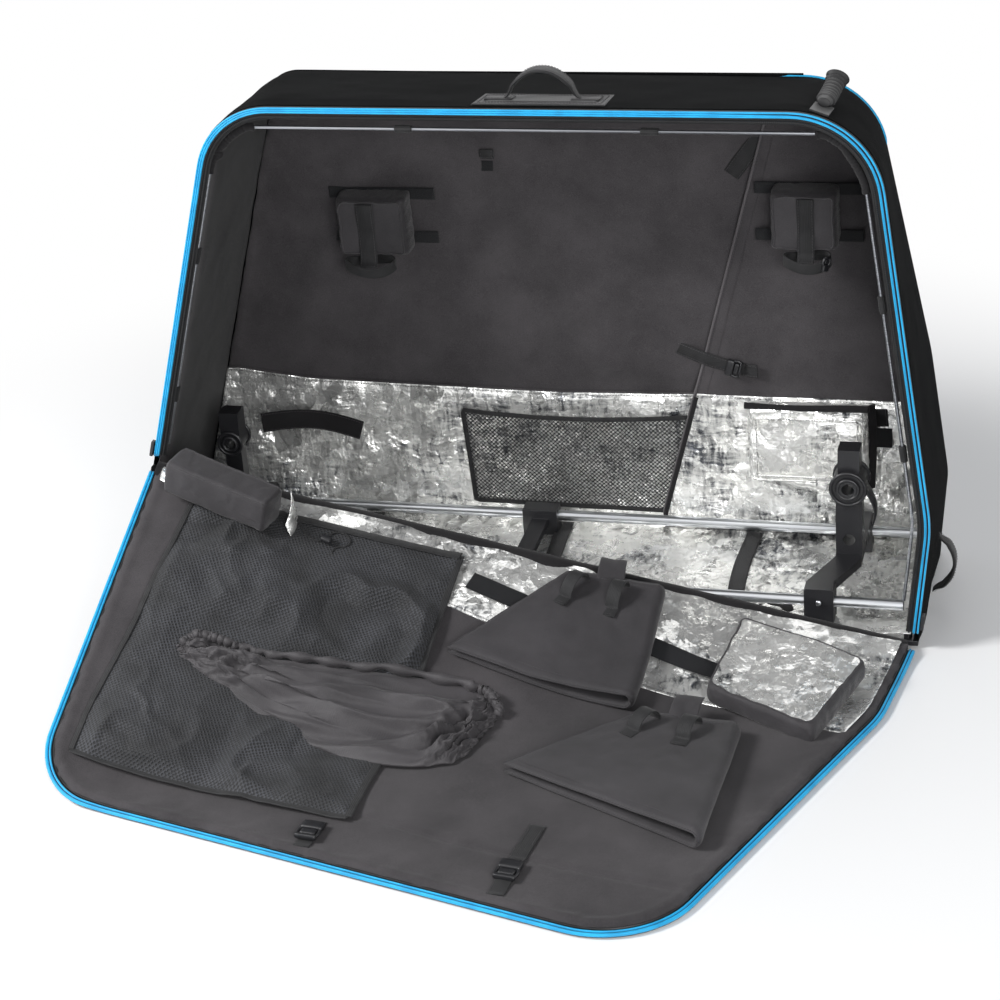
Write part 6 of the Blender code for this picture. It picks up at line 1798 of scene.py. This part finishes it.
makeFoilPad()

# Flat straps and patches on the back wall: ends, widths and thicknesses
wallStraps = {"pocket": ((0.789, 0.336), (0.924, 0.301), 0.020, 0.0019), "slanted": ((0.933, 0.662), (0.892, 0.606)),
              "slantedWidth": 0.025, "loopWidth": 0.021, "tabWidth": 0.024, "bandWidth": 0.031, "ply": 0.0022,
              "patches": (("loop_patch_hook", 0.5290, 0.5460, 0.6065, 0.6220, 0.0062, 231),
                          ("side_hook_tab", 1.090, 1.119, 0.187, 0.219, 0.0215, 233))}


# The pocket's strap leaves the wall on a table of stand-offs, and never comes nearer to the pocket than a ply
def makeWallStraps():
    s = wallStraps
    ply = s["ply"]
    t = evenly(90)
    a, b, width, thickness = s["pocket"]
    a, b = np.array(a), np.array(b)
    flat = a + (b - a) * np.minimum(t, 0.86)[:, None] + np.clip(t - 0.86, 0, 1)[:, None] * np.array([0.135, 0.010])
    lift = pocketLift(flat[:, 0], flat[:, 1])
    bridge = np.where(t < 0.70, np.interp(t, [0, 0.05, 0.42, 0.70], [0.0032, 0.0045, 0.0185, 0.0215]), lift + 0.0046)
    bridge = np.where(t > 0.80, np.maximum(bridge, lift + 0.0046 + 0.006 * shareOf(t - 0.86, 0.14)), bridge)
    route = onWall(flat[:, 0], flat[:, 1], np.maximum(bridge, lift + 0.0030))
    webStrip("pocket_strap_webbing", route, width, thickness, towardFront, "bag", "pocket_strap")
    buckleBody("pocket_strap_buckle", route[66] + [0, -0.0016, 0], route[70] - route[60], towardFront, "bag", 0.025,
               0.022, 0.0065)
    c, d = [np.array(p) for p in s["slanted"]]
    x, z = (c + (d - c) * t[:, None]).T
    route = onWall(x, z, pocketLift(x, z) + 0.0030 + 0.002 * np.sin(math.pi * t))
    webStrip("slanted_strap", route, s["slantedWidth"], ply, towardFront, "bag")
    fold = onWall(0.5375 + t * 0, 0.640 - 0.034 * t, 0.0040 + 0.0028 * (t < 0.34) + 0.0012 * np.sin(t * 7))
    webStrip("loop_patch", fold, s["loopWidth"], ply, towardFront, "bag")
    for name, *box, n, seed in s["patches"]:
        hookPatch(name, *box, onWall, lambda x, z: x * 0 + n, "bag", seed)
    tab = onWall(1.100 + 0.002 * t, 0.250 - 0.028 * t, 0.0205 + 0.003 * np.sin(3 * t))
    webStrip("side_tab", tab, s["tabWidth"], ply, towardFront, "bag", material=linerDark)
    bow = np.sin(math.pi * t)
    x, y, z = 0.160 + 0.150 * t, 0.220 + 0.030 * t + 0.010 * bow, 0.208 - 0.020 * t + 0.008 * bow
    band = toFrame(np.stack([x, y, z], -1))
    webStrip("left_wall_band", band, s["bandWidth"], 0.0030, (0, -1, 0.1), "bag", material=linerDark)


makeWallStraps()

floorStraps = {"nodes": (("floor_strap_left", 0.3065), ("floor_strap_centre", 0.6185), ("floor_strap_right", 0.9101)),
               "near": 0.0470, "length": 0.2410, "width": 0.025, "thickness": 0.0020, "smooth": 25}


# Floor straps laid on the foil: its relief averaged over a run of points, with their near ends turned under
def makeFloorStraps():
    s = floorStraps
    t = evenly(110)
    for node, x in s["nodes"]:
        y = s["near"] + s["length"] * t
        sway = x + 0.0030 * np.sin(t * 5 + x * 9)
        bump = foilRelief(sway, y, foilLook["floorHeight"], 13)
        soft = np.convolve(np.pad(bump, s["smooth"] // 2, mode="edge"), np.ones(s["smooth"]) / s["smooth"], "valid")
        z = bag["floorTop"] + soft + 0.0034 + 0.0030 * hump(t - 0.04, 0.03)
        webStrip(node + "_webbing", toFrame(np.stack([sway, y, z], -1)), s["width"], s["thickness"], upZ, "bag", node)


makeFloorStraps()
print("wall and floor straps made")

# Padded roll: a soft square prism that lies along the fold on the net bag's far corner, with seams on its ridges
rollLook = {"ends": ((0.1200, 0.260), (0.2860, 0.258)), "lift": 0.0400, "half": 0.0290, "length": 0.21,
            "around": 96, "power": 7, "seams": (16, 40), "seam": 0.0012}


# The section is a circle's point over the root of the sum of powers, which makes it square with round corners
def makeRollPad():
    k = rollLook
    a, b = [onDoor(x, z, k["lift"]) for x, z in k["ends"]]
    t = np.r_[0, 0.001, np.linspace(0.004, 0.996, 90), 0.999, 1]
    shrink = shareOf(np.minimum(t, 1 - t), 0.035)
    size = k["half"] * (0.80 + 0.20 * np.sqrt(1 - (1 - shrink) ** 2))
    size[[0, -1]] *= 0.05
    path = a + (b - a) * t[:, None]
    _, side, up = pathFrames(path, rampNormal)
    angle = np.linspace(0, 2 * math.pi, k["around"], endpoint=False)
    power = k["power"]
    square = 1 / (np.abs(np.cos(angle - 0.30)) ** power + np.abs(np.sin(angle - 0.30)) ** power) ** (1 / power)
    u, v = np.broadcast_arrays(t[:, None] * k["length"], angle[None] * k["half"])
    dent = layeredNoise(u, v, 0.040, 241) * 0.0008 + np.sin(u / 0.0075 + layeredNoise(u, v, 0.04, 247) * 4) * 0.0003
    r = size[:, None] * square * 0.92 + dent * (size > 0.01)[:, None]
    points = path[:, None] + side[:, None] * (np.cos(angle) * r)[..., None] + \
        up[:, None] * (np.sin(angle) * r)[..., None]
    piece = gridMesh("roll_pad_cushion", points, padCloth, wrapCols=True, capEnds=True, uv=np.stack([u, v], -1))
    settle(faceOut(piece), "door_lower", "liner", "roll_pad")
    for i, corner in enumerate(k["seams"]):
        seam = points[4:-4, corner] + up[4:-4] * 0.0002
        trim(f"roll_pad_seam_{i}", seam, ring(k["seam"], 8), rampNormal, padCloth, "door_lower", "liner")
    rows, cols = evenly(40)[:, None], evenly(30)[None]
    x = 0.2930 + 0.012 * rows + 0.004 * np.sin(cols * 3) + 0.010 * cols
    z = 0.222 + 0.036 * cols + 0.006 * rows
    n = 0.0070 + 0.046 * (1 - rows) * (1 - cols * 0.75)
    bend = foilRelief(rows * 0.05, cols * 0.05, 0.0020, 251)
    settle(thicken(gridMesh("roll_foil_flap", onDoor(x + bend, z, n), foil), finePly), "door_lower", "foil")


makeRollPad()
print("roll made")

# Handles: half span, arch and foot of the carry handle, half span and arch of the end handle, and the patch
handleLook = {"top": (0.052, 0.038), "end": (0.047, 0.0262), "foot": 0.012, "arch": 2.2, "narrow": (0.38, 0.34),
              "width": 0.024, "thickness": 0.0042, "patch": 0.0012, "margin": 0.015, "rows": (0.0065, 0.0130),
              "feet": (0.040, 0.078), "footStrip": (0.025, 0.0026)}


# An arch's height at shares from minus one to one, by a power of the share, eased off over its foot
def archHeight(t, half, high, least):
    bow = np.clip((1 - np.abs(t)) * half / handleLook["foot"], least, 1)
    return high * (1 - np.abs(t) ** handleLook["arch"]) * bow


# Webbing narrows towards the handle's ends in proportion
def handleScale(t):
    least, reach = handleLook["narrow"]
    return least + (1 - least) * shareOf(1 - np.abs(t), reach)


# Carry handle: a sewn patch on the slope, raised inside its margin, and a webbing arch that swings on it
def makeTopHandle():
    k = handleLook
    centre, (alongX, back, up), size = flatAxes("handle_patch")
    up = up * np.sign(up[2])
    u, v = np.broadcast_arrays(np.linspace(-1, 1, 150)[None], np.linspace(-1, 1, 70)[:, None])
    d = np.minimum((1 - np.abs(u)) * size[0] / 2, (1 - np.abs(v)) * size[1] / 2)
    raised = shareOf(d - k["margin"], 0.003)
    n = k["patch"] * np.sqrt(shareOf(d, 0.002)) + 0.0010 * raised * raised * (3 - 2 * raised) - \
        0.0004 * hump(d - k["rows"][0], 0.001)
    mid = centre + u[..., None] * size[0] / 2 * alongX + v[..., None] * size[1] / 2 * back + (n / 2)[..., None] * up
    settle(paddedSheet("handle_patch_cloth", mid, k["patch"] + n, webbing), "bag", "webbing", "handle_patch")
    for i, inset in enumerate(k["rows"]):
        loop = roundedLoop(boxCorners(-size[0] / 2, -size[1] / 2, size[0] / 2, size[1] / 2, inset), 0.004, 200)
        route = centre + loop[:, :1] * alongX + loop[:, 1:] * back + up * 0.0016
        stitches(f"handle_patch_stitches_{i}", route, up, "bag", "webbing")
    low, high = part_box("top_handle")
    middle = (np.array(low) + np.array(high)) / 2
    t = np.linspace(-1, 1, 90)
    span, rise = k["top"]
    arch = low[2] + 0.0032 + archHeight(t, span, rise, 0.10)
    route = np.stack([middle[0] + t * span, np.full(90, middle[1]), arch], -1)
    webStrip("top_handle_webbing", route, k["width"], k["thickness"], upZ, "carry_handle", "top_handle",
             scale=handleScale(t))
    for tag, sign in (("left", -1), ("right", 1)):
        x = np.linspace(*k["feet"], 24) * sign
        bar = centre + x[:, None] * alongX + back * (middle[1] - centre[1]) * 0.6 + up * 0.0030
        webStrip(f"top_handle_foot_{tag}", bar, *k["footStrip"], up, "bag")


# Tow grip: a bar that rises by a power of its share, with ribs by half sines and two swellings at its end.
# End handle: an arch out from its axis.
def makeEndPieces():
    dressed("tow_base", webbing, "bag", "webbing", 0.0006)
    centre, turns, size = flatAxes("tow_grip")
    along = turns[0] * np.sign(turns[0][1])
    up = turns[2] * np.sign(turns[2][2])
    t = evenly(220)
    rise = 0.020 * shareOf(t - 0.25, 0.75) ** 1.7
    route = centre + along * ((t - 0.5) * (size[0] - 0.004))[:, None] + up * (rise - 0.001)[:, None]
    ribs = 0.62 + 0.24 * shareOf(t, 0.22) + 0.10 * np.abs(np.sin(t * math.pi * 11)) * (t > 0.16) * (t < 0.86)
    flare = ribs + 0.34 * hump(t - 0.955, 0.030) + 0.14 * hump(t - 0.86, 0.02)
    ends = np.clip(np.minimum(t, 1 - t) / 0.012, 0.02, 1) ** 0.5
    oval = ring(size[1] / 2, 40, size[2] / size[1])
    trim("tow_grip_rubber", route, oval, up, rubber, "tow_handle", "rubber", "tow_grip", scale=flare * ends)
    k = handleLook
    half, high = k["end"]
    along = unit([0.0891, 0.0, 1.0])
    out = np.array([along[2], 0, -along[0]])
    axis = np.array([1.1855, 0.15, 0.020]) + along * half + out * 0.0050
    t = np.linspace(-1, 1, 80)
    route = toFrame(axis + along * (t * half)[:, None] + out * archHeight(t, half, high, 0)[:, None])
    webStrip("end_handle_webbing", route, k["width"], k["thickness"], out, "side_handle", "end_handle",
             scale=handleScale(t))


makeTopHandle()
makeEndPieces()
print("handles made")

# Lights, in metres and watts, around the middle that they shine at, and the floor that fades into white
stageLook = {"middle": (0.0, -0.15, 0.35), "half": 6.0, "fade": (0.75, 1.50), "surround": (0.92, 0.95, 1.0, 1),
             "strength": 0.28, "floor": (0.93, 0.93, 0.93, 1),
             "lights": (("key", (-2.3, -1.5, 2.4), 0.9, 108), ("fill", (1.6, -3.2, 1.5), 1.3, 66),
                        ("rear", (0.3, 2.6, 2.6), 2.0, 22))}


# Square lamp at a place, turned towards a target
def makeLight(name, place, target, size, power):
    lamp = bpy.data.lights.new(name, "AREA")
    lamp.energy = power
    lamp.size = size
    direction = Vector(target) - Vector(place)
    turn = direction.to_track_quat("-Z", "Y").to_matrix().to_4x4()
    placed(name, lamp).matrix_world = Matrix.Translation(place) @ turn


# Mix of two shaders by a share
def mixShaders(tree, share, first, second):
    return addNode(tree, "MixShader", {0: share, 1: first, 2: second}).outputs[0]


# Lit shader for shadows and bounces, white for what the camera sees straight, in gloss or through a net
def whiteSwitch(tree, lit, white):
    path = addNode(tree, "LightPath").outputs
    seen = addNode(tree, "Math", {0: maths(tree, "ADD", path["Is Camera Ray"], path["Is Glossy Ray"]),
                                  1: path["Is Transmission Ray"]}, operation="ADD", use_clamp=True)
    return mixShaders(tree, seen.outputs[0], lit, white)


# Soft surround, the floor's fade by its distance from the middle, and the lamps
def makeStage():
    s = stageLook
    world = bpy.data.worlds.new("surround")
    bpy.context.scene.world = world
    world.use_nodes = True
    tree = world.node_tree
    soft = tree.nodes["Background"]
    feed(tree, soft, {"Color": s["surround"], "Strength": s["strength"]})
    white = addNode(tree, "Background", {"Color": (1, 1, 1, 1), "Strength": 1.0})
    feed(tree, tree.nodes["World Output"], {"Surface": whiteSwitch(tree, soft.outputs[0], white.outputs[0])})
    material, tree, shader = nodesOf("pale floor")
    feed(tree, shader, {"Base Color": s["floor"], "Roughness": 0.9})
    nearby = vectorMaths(tree, "LENGTH", coordinates(tree))
    fade = spread(tree, nearby, 0.0, 1.0, *s["fade"], interpolation_type="SMOOTHSTEP")
    share = maths(tree, "MULTIPLY", fade, addNode(tree, "LightPath").outputs["Is Camera Ray"])
    paper = addNode(tree, "Emission", {"Color": (1, 1, 1, 1), "Strength": 1.0})
    faded = mixShaders(tree, share, shader.outputs[0], paper.outputs[0])
    feed(tree, tree.nodes["Material Output"], {"Surface": faded})
    half = s["half"]
    grid = np.array([[[-half, -half, 0], [-half, half, 0]], [[half, -half, 0], [half, half, 0]]], float)
    gridMesh("floor", grid, material, smooth=False)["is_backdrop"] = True
    for name, place, size, power in s["lights"]:
        makeLight(name, place, s["middle"], size, power)
    bpy.context.scene.view_settings.view_transform = "Standard"


makeStage()
print("stage and lights made")

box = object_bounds()
